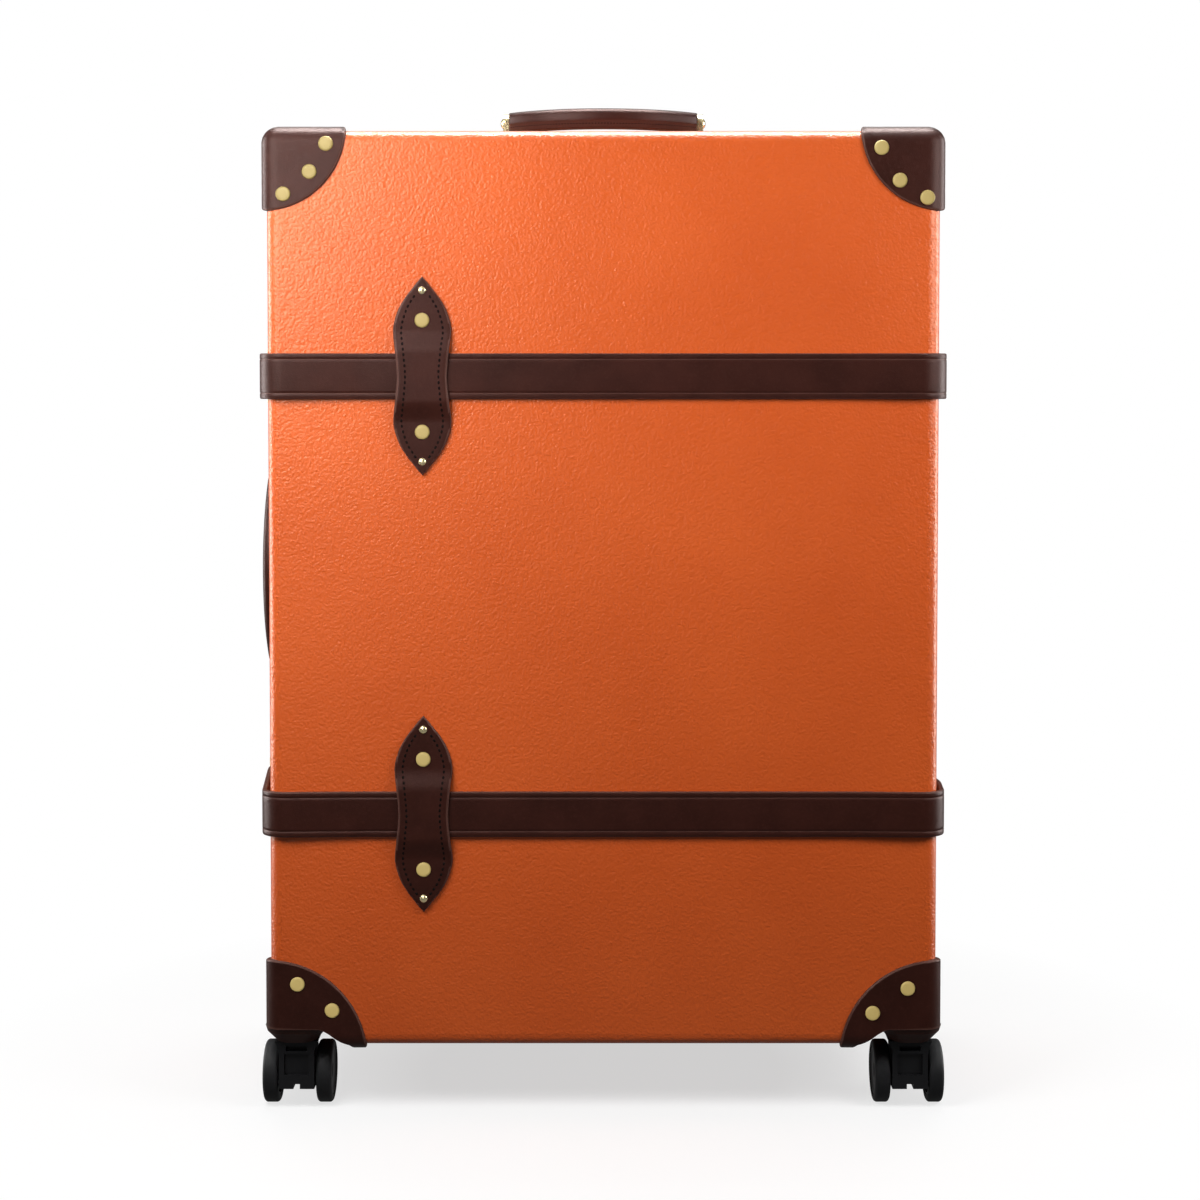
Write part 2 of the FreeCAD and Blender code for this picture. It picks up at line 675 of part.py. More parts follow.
def handle_section():
    """The grip's section: a rounded roll above, tapered below to the flange where its leather is sewn."""
    side = HANDLE_WIDE / 2
    foot = -HANDLE_THICK / 2
    taper = foot + HANDLE_FLANGE_HIGH
    right = [V(HANDLE_FLANGE_HALF, foot), V(side, taper), V(side, -foot)]
    left = [V(-point.x, point.y) for point in reversed(right)]
    tapered = Part.Face(Part.makePolygon(right + left + right[:1]))
    roll = Part.Face(rounded_wire(V(0, 0, 0), HANDLE_WIDE, HANDLE_THICK, HANDLE_ROUND))
    return roll.common(tapered).Faces[0]


def handle_grip():
    """The grip in the top handle's place, before it is moved to its wall: Z is measured from the wall."""
    bow_r = (HANDLE_HALF_LONG ** 2 + HANDLE_BOW ** 2) / (2 * HANDLE_BOW)
    mid_y = HANDLE_PIVOT_Y - HANDLE_BOW
    centre_y = mid_y + bow_r
    section = handle_section()
    section.rotate(V(0, 0, 0), V(1, 1, 1), 120)
    section.translate(V(0, mid_y, HANDLE_AXIS))
    sweep = 2 * math.degrees(math.asin(HANDLE_HALF_LONG / bow_r)) + 2 * HANDLE_WIDE
    section.rotate(V(0, centre_y, 0), UP, -sweep / 2)
    bow = section.revolve(V(0, centre_y, 0), UP, sweep)
    ends = (-HANDLE_HALF_LONG, HANDLE_HALF_LONG)
    bow = bow.common(block(ends, (-FAR, FAR), (0, FAR)))
    bore = HANDLE_PIN_R + RUN_CLEAR
    for side in SIDES.values():
        start = V(side * HANDLE_HALF_LONG, HANDLE_PIVOT_Y, HANDLE_AXIS)
        bow = bow.cut(rod(bore, start, RIGHT * (-side * (HANDLE_PIN_SEAT + POST_CLEAR))))
    return bow


def handle_post(side):
    """A brass post on a foot plate, with an eye for the pivot pin."""
    inner = side * (HANDLE_HALF_LONG + POST_CLEAR)
    x = sorted((inner, inner + side * POST_THICK))
    y = (HANDLE_PIVOT_Y - POST_HALF_WIDE, HANDLE_PIVOT_Y + POST_HALF_WIDE)
    eye = rod(POST_HALF_WIDE, V(x[0], HANDLE_PIVOT_Y, HANDLE_AXIS), RIGHT * POST_THICK)
    foot_x = sorted((inner, inner + side * (POST_THICK + POST_HALF_WIDE)))
    foot_y = (HANDLE_PIVOT_Y - POST_FOOT_HALF, HANDLE_PIVOT_Y + POST_FOOT_HALF)
    foot = block(foot_x, foot_y, (0, POST_FOOT_THICK))
    foot = foot.makeFillet(POST_FOOT_THICK / 3, foot.Edges)
    post = block(x, y, (0, HANDLE_AXIS)).fuse([eye, foot])
    post = post.cut(rod(HANDLE_PIN_R, V(x[0], HANDLE_PIVOT_Y, HANDLE_AXIS), RIGHT * POST_THICK))
    return post.removeSplitter()


def handle_pin(side):
    """The pivot pin, with a domed head outside the post."""
    outer = side * (HANDLE_HALF_LONG + POST_CLEAR + POST_THICK)
    seat = V(outer, HANDLE_PIVOT_Y, HANDLE_AXIS)
    stem = rod(HANDLE_PIN_R, seat, RIGHT * (-side * (POST_THICK + POST_CLEAR + HANDLE_PIN_SEAT)))
    ball_r = (PIN_DOME_R ** 2 + PIN_DOME_HIGH ** 2) / (2 * PIN_DOME_HIGH)
    ball = Part.makeSphere(ball_r, seat + RIGHT * (side * (PIN_DOME_HIGH - ball_r)))
    keep = sorted((outer, outer + side * FAR))
    dome = ball.common(block(keep, (-FAR, FAR), (-FAR, FAR)))
    return stem.fuse(dome).removeSplitter()


def make_handles():
    """The same handle on the top and, turned and further back, on the left wall."""
    on_top = FreeCAD.Placement(V(0, 0, TOP_Z), FreeCAD.Rotation())
    turn = FreeCAD.Rotation(AWAY, -90)
    on_left = FreeCAD.Placement(V(-HALF_WIDTH, SIDE_HANDLE_BACK, MIDDLE_Z), turn)
    posts = []
    pins = []
    for name, place in (("top", on_top), ("side", on_left)):
        grip = handle_grip()
        grip.Placement = place.multiply(grip.Placement)
        save(name + "_handle_grip", grip)
        for side in SIDES.values():
            for group, made in ((posts, handle_post(side)), (pins, handle_pin(side))):
                made.Placement = place.multiply(made.Placement)
                group.append(made)
    save("handle_posts", *posts)
    save("handle_pins", *pins)


# Trolley: two telescopic legs inside the back of the base, joined by a leather grip

def leg_bar(side, inset, z_from, z_to):
    """A bar along one trolley leg, set in from the outside of its sleeve."""
    foot = sleeve_place(side) + UP * z_from
    corner = TUBE_ROUND - TUBE_ROUND_LOSS * inset
    return rounded_prism(foot, SLEEVE_WIDE - 2 * inset, SLEEVE_DEEP - 2 * inset, corner, z_to - z_from)


def tube(side, inset, z_from, z_to):
    """One tube of a trolley leg."""
    return leg_bar(side, inset, z_from, z_to).cut(leg_bar(side, inset + TUBE_WALL, z_from, z_to))


def make_legs():
    """The sleeves fixed to the base, and the two stages that slide in them."""
    sides = SIDES.values()
    middle_z = SLEEVE_Z + STAGE_OVERLAP
    inner_z = middle_z + STAGE_OVERLAP
    save("trolley_sleeves", *[tube(side, 0, SLEEVE_Z, TOP_Z) for side in sides])
    save("trolley_middle_tubes", *[tube(side, STAGE_STEP, middle_z, PLATE_Z) for side in sides])
    save("trolley_inner_tubes", *[tube(side, 2 * STAGE_STEP, inner_z, GRIP_Z + GRIP_SEAT) for side in sides])


def make_foot():
    """The moulded bar that holds the lower ends of both sleeves against the back wall."""
    half = TROLLEY_HALF_SPAN + SLEEVE_WIDE / 2 + FOOT_MARGIN
    floor_z = SLEEVE_Z - FOOT_FLOOR
    foot = block((-half, half), (TROLLEY_FRONT_Y, BACK_Y - WALL), (floor_z, floor_z + FOOT_HIGH))
    for side in SIDES.values():
        foot = foot.cut(leg_bar(side, 0, SLEEVE_Z, SLEEVE_Z + FOOT_HIGH))
    save("trolley_foot", foot)


def make_top_plate():
    """The brass plate round the mouths of both legs."""
    wide = 2 * TROLLEY_HALF_SPAN + SLEEVE_WIDE + 2 * PLATE_MARGIN
    deep = SLEEVE_DEEP + 2 * PLATE_MARGIN
    plate = rounded_prism(V(0, TROLLEY_Y, TOP_Z), wide, deep, PLATE_MARGIN, PLATE_THICK)
    for side in SIDES.values():
        plate = plate.cut(leg_bar(side, TUBE_WALL, TOP_Z - PLATE_THICK, PLATE_Z + PLATE_THICK))
    save("trolley_top_plate", plate)


def make_trolley_grip():
    """The grip across both legs, and the button sunk into its top."""
    half_long = TROLLEY_HALF_SPAN + SLEEVE_WIDE / 2 + GRIP_OVERHANG
    section = Part.Face(rounded_wire(V(0, 0, 0), GRIP_WIDE, GRIP_HIGH, GRIP_ROUND))
    section.rotate(V(0, 0, 0), V(1, 1, 1), 120)
    section.translate(V(-half_long, TROLLEY_Y, GRIP_Z + GRIP_HIGH / 2))
    grip = section.extrude(RIGHT * (2 * half_long))
    for side in SIDES.values():
        grip = grip.cut(leg_bar(side, 2 * STAGE_STEP, GRIP_Z - GRIP_SEAT, GRIP_Z + GRIP_SEAT))
    button_z = GRIP_Z + GRIP_HIGH - BUTTON_DEEP
    corner = BUTTON_WIDE / 3
    room = 2 * BUTTON_CLEAR
    well = V(0, TROLLEY_Y, button_z - BUTTON_TRAVEL - BUTTON_CLEAR)
    grip = grip.cut(rounded_prism(well, BUTTON_LONG + room, BUTTON_WIDE + room, corner, GRIP_HIGH))
    save("trolley_grip", grip)
    high = BUTTON_DEEP + BUTTON_PROUD
    button = rounded_prism(V(0, TROLLEY_Y, button_z), BUTTON_LONG, BUTTON_WIDE, corner, high)
    rim = [edge for edge in button.Edges if edge.CenterOfMass.z > button_z + high - BUTTON_CLEAR]
    save("trolley_button", button.makeFillet(BUTTON_PROUD / 3, rim))


# Castors: moulded housing under the corner, fork on a kingpin, axle, and two wheels beside the fork

def housing(place):
    """The moulded cup that carries on the line of the leather corner and narrows to the fork."""
    top = rounded_wire(place + UP * RECESS_Z, HOUSING_TOP, HOUSING_TOP, HOUSING_TOP_ROUND)
    foot_z = RECESS_Z - HOUSING_HIGH
    foot = rounded_wire(place + UP * foot_z, HOUSING_FOOT, HOUSING_FOOT, HOUSING_FOOT_ROUND)
    waist_z = RECESS_Z - HOUSING_LIP_HIGH
    waist_wide = HOUSING_TOP - HOUSING_LIP_TAPER
    waist = rounded_wire(place + UP * waist_z, waist_wide, waist_wide, HOUSING_TOP_ROUND)
    upper = Part.makeLoft([waist, top], True, True)
    lower = Part.makeLoft([foot, waist], True, True)
    cup = upper.fuse(lower)
    bore = rod(KINGPIN_R + RUN_CLEAR, place + UP * foot_z, UP * (KINGPIN_SEAT + SWIVEL_CLEAR))
    return cup.cut(bore).removeSplitter()


def axle_place(place, end):
    """The middle of the axle, which trails from the swivel axis towards the middle of the case."""
    return place + AWAY * (-end * AXLE_TRAIL) + UP * WHEEL_R


def fork(place, end):
    """The fork: a head with a window above a sunk panel in front, a notched toe, and a boss for the axle."""
    head_z = RECESS_Z - HOUSING_HIGH - SWIVEL_CLEAR
    half = WHEEL_SPREAD / 2 - WHEEL_WIDE - FORK_CLEAR
    shoulder_z = 2 * WHEEL_R - FORK_CLEAR
    toe_z = WHEEL_R - FORK_BOSS_R
    right = [(FORK_TOP_HALF, head_z), (half, shoulder_z - FORK_CLEAR), (half, toe_z)]
    corners = right + [(-x, z) for x, z in reversed(right)]
    front_view = Part.makePolygon([place + V(x, 0, z) for x, z in corners + corners[:1]])
    front_view = Part.Face(front_view).extrude(AWAY * (2 * FAR))
    front_view.translate(AWAY * -FAR)

    side_view = [
        (-FORK_FRONT, head_z),
        (-FORK_FRONT, toe_z),
        (AXLE_TRAIL, toe_z),
        (AXLE_TRAIL + FORK_BOSS_R, WHEEL_R),
        (FORK_TOP_HALF, head_z),
    ]
    back = -end
    outline = [place + V(-FAR, back * y, z) for y, z in side_view + side_view[:1]]
    body = Part.Face(Part.makePolygon(outline)).extrude(RIGHT * (2 * FAR))
    axle = axle_place(place, end)
    body = body.fuse(rod(FORK_BOSS_R, axle - RIGHT * FAR, RIGHT * (2 * FAR)))
    body = body.common(front_view).removeSplitter()

    slot_z = head_z - FORK_SLOT_HIGH
    panel_z = slot_z - FORK_SLOT_HIGH - FORK_BAR_HIGH
    openings = [
        (FORK_SLOT_HALF, FORK_SLOT_DEEP, slot_z - FORK_SLOT_HIGH, slot_z),
        (FORK_PANEL_HALF, FORK_PANEL_DEEP, panel_z - FORK_PANEL_HIGH, panel_z),
        (FORK_NOTCH_HALF, FAR, toe_z - FAR, toe_z + FORK_NOTCH_HIGH),
    ]
    for wide, deep, low, high in openings:
        y = sorted((place.y - back * FAR, place.y - back * (FORK_FRONT - deep)))
        body = body.cut(block((place.x - wide, place.x + wide), y, (low, high)))
    body = body.cut(rod(AXLE_R, axle - RIGHT * half, RIGHT * (2 * half)))
    kingpin_high = KINGPIN_SEAT + SWIVEL_CLEAR + FORK_CLEAR
    kingpin = rod(KINGPIN_R, place + UP * (head_z - FORK_CLEAR), UP * kingpin_high)
    return body.fuse(kingpin).removeSplitter()


def wheel(axle, side):
    """A wheel with a moulded tyre, a flat disc on its outer face and open spokes towards the fork."""
    outer_x = WHEEL_SPREAD / 2
    inner_x = outer_x - WHEEL_WIDE
    tyre_r = WHEEL_R - WHEEL_RIM
    tyre = rod(WHEEL_R, RIGHT * inner_x, RIGHT * WHEEL_WIDE)
    tyre = tyre.makeFillet(WHEEL_ROUND, [edge for edge in tyre.Edges if edge.Length > math.pi * WHEEL_R])
    tyre = tyre.cut(rod(tyre_r, RIGHT * inner_x, RIGHT * (WHEEL_WIDE - WHEEL_DISC)))
    hub = rod(HUB_R, RIGHT * inner_x, RIGHT * WHEEL_WIDE)
    spokes = []
    for step in range(SPOKE_COUNT):
        spoke_x = (inner_x + WHEEL_ROUND, outer_x - WHEEL_DISC / 2)
        spoke = block(spoke_x, (-SPOKE_WIDE / 2, SPOKE_WIDE / 2), (HUB_R / 2, tyre_r + WHEEL_RIM / 4))
        spoke.rotate(V(0, 0, 0), RIGHT, step * 360 / SPOKE_COUNT)
        spokes.append(spoke)
    made = tyre.fuse([hub] + spokes)
    made = made.cut(rod(AXLE_R + RUN_CLEAR, V(0, 0, 0), RIGHT * (outer_x - WHEEL_DISC)))
    made = made.removeSplitter()
    if side < 0:
        made = made.mirror(V(0, 0, 0), RIGHT)
    made.translate(axle)
    return made


def make_castors():
    """Four castors; in each, one wheel is nearer the outside of the case and one nearer its middle."""
    for end_name, end in ENDS.items():
        for side_name, side in SIDES.items():
            name = end_name + "_" + side_name
            place = castor_place(side, end)
            axle = axle_place(place, end)
            half = WHEEL_SPREAD / 2 - WHEEL_DISC - WHEEL_CLEAR
            save("castor_housing_" + name, housing(place))
            save("castor_fork_" + name, fork(place, end))
            save("castor_axle_" + name, rod(AXLE_R, axle - RIGHT * half, RIGHT * (2 * half)))
            save("wheel_" + name + "_outer", wheel(axle, side))
            save("wheel_" + name + "_inner", wheel(axle, -side))


os.makedirs("parts", exist_ok=True)
make_shells()
make_frames()
make_linings()
rivets = dict(make_corners())
make_straps(rivets["lid"])
for half_name, group in rivets.items():
    save(half_name + "_rivets", *group)
make_hinges()
make_locks()
make_handles()
make_legs()
make_foot()
make_top_plate()
make_trolley_grip()
make_castors()
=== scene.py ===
import math

import bmesh
import bpy
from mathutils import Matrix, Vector


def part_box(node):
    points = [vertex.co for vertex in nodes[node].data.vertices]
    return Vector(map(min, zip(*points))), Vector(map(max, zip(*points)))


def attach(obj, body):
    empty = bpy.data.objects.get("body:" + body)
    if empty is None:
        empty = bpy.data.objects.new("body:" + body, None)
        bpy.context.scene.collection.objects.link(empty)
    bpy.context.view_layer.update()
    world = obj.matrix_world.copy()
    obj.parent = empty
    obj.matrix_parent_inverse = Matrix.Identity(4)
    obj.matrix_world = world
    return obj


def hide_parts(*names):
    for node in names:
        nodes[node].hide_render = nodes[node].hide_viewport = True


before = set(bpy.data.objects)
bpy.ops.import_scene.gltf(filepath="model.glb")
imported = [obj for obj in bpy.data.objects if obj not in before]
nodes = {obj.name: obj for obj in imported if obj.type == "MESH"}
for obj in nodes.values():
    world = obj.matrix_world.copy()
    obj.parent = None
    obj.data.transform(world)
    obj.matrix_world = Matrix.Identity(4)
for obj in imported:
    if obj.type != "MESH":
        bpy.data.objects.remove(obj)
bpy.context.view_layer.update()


# Fibre shells. The lid and the base are trays pressed from vulcanised fibre board, dyed orange right through.
# The press leaves a fine pebbled grain with longer waves in it, and a thin lacquer gives it a semi-gloss.

class Finish:
    """A material under construction, in metres of the object's own space."""

    def __init__(self, name):
        self.material = bpy.data.materials.new(name)
        self.material.use_nodes = True
        self.tree = self.material.node_tree
        self.shader = self.tree.nodes["Principled BSDF"]
        self.place = self.add("ShaderNodeTexCoord").outputs["Object"]

    def plug(self, socket, value):
        if isinstance(value, bpy.types.NodeSocket):
            self.tree.links.new(value, socket)
        else:
            socket.default_value = value

    def add(self, kind, sockets=None, **settings):
        node = self.tree.nodes.new(kind)
        for key, value in settings.items():
            setattr(node, key, value)
        for key, value in (sockets or {}).items():
            self.plug(node.inputs[key], value)
        return node

    def stretched(self, across, along, up):
        scale = {"Vector": self.place, "Scale": (across, along, up)}
        return self.add("ShaderNodeMapping", scale).outputs["Vector"]

    def noise(self, scale, detail=2.0, roughness=0.5, place=None):
        sockets = {"Vector": place or self.place, "Scale": scale, "Detail": detail, "Roughness": roughness}
        return self.add("ShaderNodeTexNoise", sockets).outputs["Fac"]

    def cells(self, scale, feature="F1"):
        sockets = {"Vector": self.place, "Scale": scale}
        return self.add("ShaderNodeTexVoronoi", sockets, feature=feature).outputs["Distance"]

    def attribute(self, name):
        return self.add("ShaderNodeAttribute", attribute_name=name).outputs["Fac"]

    def spread(self, value, low, high, to_low=0.0, to_high=1.0):
        sockets = {"Value": value, "From Min": low, "From Max": high, "To Min": to_low, "To Max": to_high}
        return self.add("ShaderNodeMapRange", sockets).outputs["Result"]

    def sum(self, first, second, operation="ADD"):
        return self.add("ShaderNodeMath", {0: first, 1: second}, operation=operation).outputs[0]

    def mix(self, factor, first, second):
        node = self.add("ShaderNodeMix", {0: factor}, data_type="RGBA")
        self.plug(node.inputs[6], first)
        self.plug(node.inputs[7], second)
        return node.outputs[2]

    def bump(self, height, distance, strength):
        sockets = {"Height": height, "Distance": distance, "Strength": strength}
        return self.add("ShaderNodeBump", sockets).outputs["Normal"]

    def shade(self, **sockets):
        for key, value in sockets.items():
            self.plug(self.shader.inputs[key.replace("_", " ")], value)
        return self.material


def pressed_fibre():
    finish = Finish("pressed_fibre")
    drift = finish.noise(7, 3)
    waves = finish.noise(230, 2, 0.5)
    pebbles = finish.sum(1.0, finish.cells(520, "SMOOTH_F1"), "SUBTRACT")
    bumps = finish.noise(430, 2, 0.5)
    orange = finish.mix(finish.spread(drift, 0.3, 0.7), (0.60, 0.088, 0.012, 1), (0.66, 0.105, 0.016, 1))
    fibres = finish.noise(900, 2, 0.5, finish.stretched(0.25, 1, 1))
    orange = finish.mix(finish.spread(fibres, 0.55, 0.8, 0.0, 0.25), orange, (0.50, 0.062, 0.008, 1))
    grain = finish.sum(finish.sum(pebbles, 0.6, "MULTIPLY"), finish.sum(waves, 0.4, "MULTIPLY"))
    grain = finish.sum(grain, bumps)
    return finish.shade(
        Base_Color=orange,
        Roughness=finish.spread(pebbles, 0.3, 0.7, 0.29, 0.40),
        Normal=finish.bump(grain, 0.0007, 0.6),
        Specular_IOR_Level=0.6,
        Specular_Tint=(1.0, 0.88, 0.69, 1),
    )


def dress(material, *names):
    """Give carried-over nodes their finish."""
    for name in names:
        nodes[name].data.materials.clear()
        nodes[name].data.materials.append(material)


dress(pressed_fibre(), "lid_shell", "base_shell")


# Closing frames. Two extruded aluminium profiles stiffen the rims of the trays; the base's has a tongue
# that closes inside the lid. They are drawn, so their brushed lines run along the rim.

def satin_aluminium():
    finish = Finish("satin_aluminium")
    lines = finish.noise(60, 3, 0.6, finish.stretched(4, 40, 4))
    smear = finish.noise(25, 2)
    return finish.shade(
        Base_Color=finish.mix(smear, (0.60, 0.60, 0.59, 1), (0.72, 0.72, 0.71, 1)),
        Metallic=1.0,
        Roughness=finish.spread(lines, 0.3, 0.7, 0.28, 0.42),
        Normal=finish.bump(lines, 0.00008, 0.6),
    )


aluminium = satin_aluminium()
dress(aluminium, "lid_edge_frame", "base_edge_frame")


# Linings. Both trays are lined with thin board that is covered in a plain woven cotton. The covered liners
# are glued down to the fibre.

def woven_cotton():
    finish = Finish("woven_cotton")
    weave = {"Vector": finish.place, "Scale": 420.0, "Distortion": 0.6, "Detail": 1.0}
    warp = finish.add("ShaderNodeTexWave", weave, bands_direction="X").outputs["Fac"]
    weft = finish.add("ShaderNodeTexWave", weave, bands_direction="Z").outputs["Fac"]
    cloth = finish.sum(warp, weft, "MULTIPLY")
    slub = finish.noise(90, 3, 0.6, finish.stretched(1, 1, 8))
    colour = finish.mix(slub, (0.40, 0.31, 0.20, 1), (0.56, 0.46, 0.32, 1))
    colour = finish.mix(finish.spread(cloth, 0.0, 0.5, 0.35, 0.0), colour, (0.25, 0.18, 0.11, 1))
    return finish.shade(
        Base_Color=colour,
        Roughness=0.9,
        Sheen_Weight=0.25,
        Sheen_Roughness=0.5,
        Normal=finish.bump(finish.sum(cloth, slub), 0.0004, 0.6),
    )


dress(woven_cotton(), "lid_lining", "base_lining")


# Leather corners. Each corner of the case wears a cap of thick bridle leather, wet-moulded over the corner
# and cut to a quarter round on each face. Its cut edge is bevelled and painted, which leaves a paler line.

LEATHER = 0.0024
CAP_THICK = (0.0042, 0.0024, 0.0034)
EDGE_ROUND = 0.010
TOP_REACH = 0.066
BOTTOM_REACH = 0.078
BOTTOM_INSET = 0.002
BOTTOM_DROP = 0.006
BOTTOM_OVERLAP = 16
POCKET_INSET = (0.019, 0.024)
POCKET_RADIUS = 0.032
POCKET_FLARE = 1.3
POCKET_HIGH = 0.014
EDGE_BEVEL = 0.0017
BEVEL_STEPS = 4
BEVEL_PAINT = 0.3
CAP_MIDDLE = 0.0004
CAP_STEPS = 24
SHARP_TURN = math.radians(50)


def brown_leather():
    finish = Finish("brown_leather")
    drift = finish.noise(28, 4, 0.6)
    pores = finish.cells(1500)
    creases = finish.noise(420, 4, 0.65)
    edge = finish.attribute("edge")
    brown = finish.spread(drift, 0.3, 0.7)
    brown = finish.mix(brown, (0.024, 0.0058, 0.0036, 1), (0.039, 0.0100, 0.0066, 1))
    brown = finish.mix(finish.spread(creases, 0.5, 0.75, 0.0, 0.35), brown, (0.055, 0.017, 0.012, 1))
    # The pale colour is the painted cut edge, and at part strength a painted highlight on strap creases and
    # handle crowns.
    brown = finish.mix(finish.sum(edge, 0.75, "MULTIPLY"), brown, (0.12, 0.056, 0.044, 1))
    grain = finish.sum(finish.sum(pores, 0.5, "MULTIPLY"), creases)
    return finish.shade(
        Base_Color=brown,
        Roughness=finish.spread(creases, 0.3, 0.7, 0.34, 0.46),
        Specular_IOR_Level=0.22,
        Specular_Tint=(1.0, 0.74, 0.68, 1),
        Normal=finish.bump(grain, 0.00025, 0.5),
    )


leather = brown_leather()


def piece(name, points, faces, material, edge=None):
    """A new smooth mesh object; edge is each point's share of the pale colour: painted cut edges and painted
    highlights.
    """
    mesh = bpy.data.meshes.new(name)
    mesh.from_pydata(points, [], faces)
    shape = bmesh.new()
    shape.from_mesh(mesh)
    bmesh.ops.recalc_face_normals(shape, faces=shape.faces)
    shape.to_mesh(mesh)
    shape.free()
    mesh.materials.append(material)
    mesh.polygons.foreach_set("use_smooth", [True] * len(mesh.polygons))
    mesh.set_sharp_from_angle(angle=SHARP_TURN)
    if edge:
        mesh.attributes.new("edge", "FLOAT", "POINT").data.foreach_set("value", edge)
    made = bpy.data.objects.new(name, mesh)
    bpy.context.scene.collection.objects.link(made)
    return made


def quilt(rows, round_rows=False, round_columns=False):
    """Points and faces of rows of equal length, each way open or closed; open ends of a tube are capped."""
    wide = len(rows[0])
    faces = []
    for i in range(len(rows) if round_rows else len(rows) - 1):
        for j in range(wide if round_columns else wide - 1):
            below = (i + 1) % len(rows)
            right = (j + 1) % wide
            faces.append((i * wide + j, i * wide + right, below * wide + right, below * wide + j))
    if round_columns and not round_rows:
        faces.append(tuple(range(wide)))
        faces.append(tuple(range((len(rows) - 1) * wide, len(rows) * wide)))
    if round_rows and not round_columns:
        faces.append(tuple(i * wide for i in range(len(rows))))
        faces.append(tuple(i * wide + wide - 1 for i in range(len(rows))))
    return [point for row in rows for point in row], faces


shell_low, shell_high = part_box("lid_shell")
front_y = shell_low.y
back_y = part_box("base_shell")[1].y
half_width = shell_high.x
bottom_z = shell_low.z
top_z = shell_high.z


def on_corner(turn, reach):
    """A place on the sharp corner, as distances in from side, front and top, turned about the corner."""
    face, angle = divmod(turn % 270, 90)
    near = reach * math.cos(math.radians(angle))
    far = reach * math.sin(math.radians(angle))
    return [(near, 0, far), (0, far, near), (far, near, 0)][int(face)]


def rounded(place, lift):
    """The same place on the rounded corner, lifted by a share of the leather's thickness there."""
    core = Vector([max(value, EDGE_ROUND) for value in place])
    out = (Vector(place) - core).normalized()
    return core + out * EDGE_ROUND + Vector([n * thick * lift for n, thick in zip(out, CAP_THICK)])


def outer_reach(turn, up):
    """How far the cap goes along a direction; its edge lies on a ball about a place near the corner."""
    if up > 0:
        middle = Vector((-LEATHER, -LEATHER, -LEATHER))
        reach = TOP_REACH
    else:
        inset = BOTTOM_INSET - LEATHER
        middle = Vector((inset, inset, -BOTTOM_DROP - LEATHER))
        reach = BOTTOM_REACH
    along = Vector(on_corner(turn, 1.0)).dot(middle)
    return along + math.sqrt(along ** 2 - middle.length_squared + reach ** 2)


def in_pocket(place):
    """Whether a place lies in the flared pocket of a castor."""
    across = math.hypot(place[0] - POCKET_INSET[0], place[1] - POCKET_INSET[1])
    return place[2] < POCKET_HIGH and across < POCKET_RADIUS + POCKET_FLARE * (POCKET_HIGH - place[2])


def inner_reach(turn, limit):
    """How far the pocket goes along a direction."""
    inside = 0.0
    outside = limit
    for _ in range(30):
        middle = (inside + outside) / 2
        if in_pocket(on_corner(turn, middle)):
            inside = middle
        else:
            outside = middle
    return outside


def corner_cap(name, side, end, up):
    """One leather corner; the lower ones are cut out round the castor."""
    if up > 0:
        turns = [i * 3 for i in range(90)]
        starts = [CAP_MIDDLE] * len(turns)
    else:
        turns = [i * 2 - BOTTOM_OVERLAP for i in range(90 + BOTTOM_OVERLAP + 1)]
        starts = [inner_reach(turn, outer_reach(turn, up)) for turn in turns]
    rows = [(step / CAP_STEPS, 0.0, 1.0) for step in range(CAP_STEPS + 1)]
    for step in range(BEVEL_STEPS + 1):
        angle = math.radians(90 * step / BEVEL_STEPS)
        drop = EDGE_BEVEL * (1 - math.cos(angle))
        rows.append((1.0, EDGE_BEVEL * math.sin(angle), 1.0 - drop / LEATHER))
    rows.append((1.0, EDGE_BEVEL, 0.0))
    rows.append((0.0, 0.0, 0.0))
    points = []
    edge = []
    for share, beyond, lift in rows:
        line = []
        for turn, start in zip(turns, starts):
            stop = max(outer_reach(turn, up) - EDGE_BEVEL, start)
            place = rounded(on_corner(turn, start + (stop - start) * share + beyond), lift)
            x = side * (half_width - place.x)
            y = front_y + place.y if end < 0 else back_y - place.y
            z = top_z - place.z if up > 0 else bottom_z + place.z
            line.append(Vector((x, y, z)))
            painted = beyond > EDGE_BEVEL * BEVEL_PAINT or (up < 0 and share == 0.0)
            edge.append(1.0 if painted else 0.0)
        points.append(line)
    made = piece(name, *quilt(points, round_rows=up < 0, round_columns=up > 0), leather, edge)
    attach(made, "lid" if end < 0 else "base")
    return made


rear_caps = []
for side_name, side in (("left", -1), ("right", 1)):
    for level, up in (("top", 1), ("bottom", -1)):
        cap = corner_cap("corner_front_" + level + "_" + side_name, side, -1, up)
        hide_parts("lid_corner_" + level + "_" + side_name)
        rear_caps.append(corner_cap("corner_rear_" + level + "_" + side_name, side, 1, up))
for cap in rear_caps:
    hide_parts("base_corners")


# Rivets and nails. Flat brass rivets hold the corners and keepers, and a small domed nail sits near each
# keeper's tips. Their heads are turned, with a soft rim, and polished to a pale gold.

def pale_brass():
    finish = Finish("pale_brass")
    smear = finish.noise(160, 3)
    return finish.shade(
        Base_Color=finish.mix(smear, (0.61, 0.45, 0.14, 1), (0.67, 0.51, 0.18, 1)),
        Metallic=0.1,
        Roughness=finish.spread(smear, 0.3, 0.7, 0.48, 0.60),
    )


def bright_brass():
    finish = Finish("bright_brass")
    return finish.shade(
        Base_Color=(0.92, 0.79, 0.46, 1),
        Metallic=0.8,
        Roughness=finish.spread(finish.noise(120, 3), 0.3, 0.7, 0.16, 0.26),
    )


brass = pale_brass()
polished = bright_brass()


SAME_PLACE = 1e-6


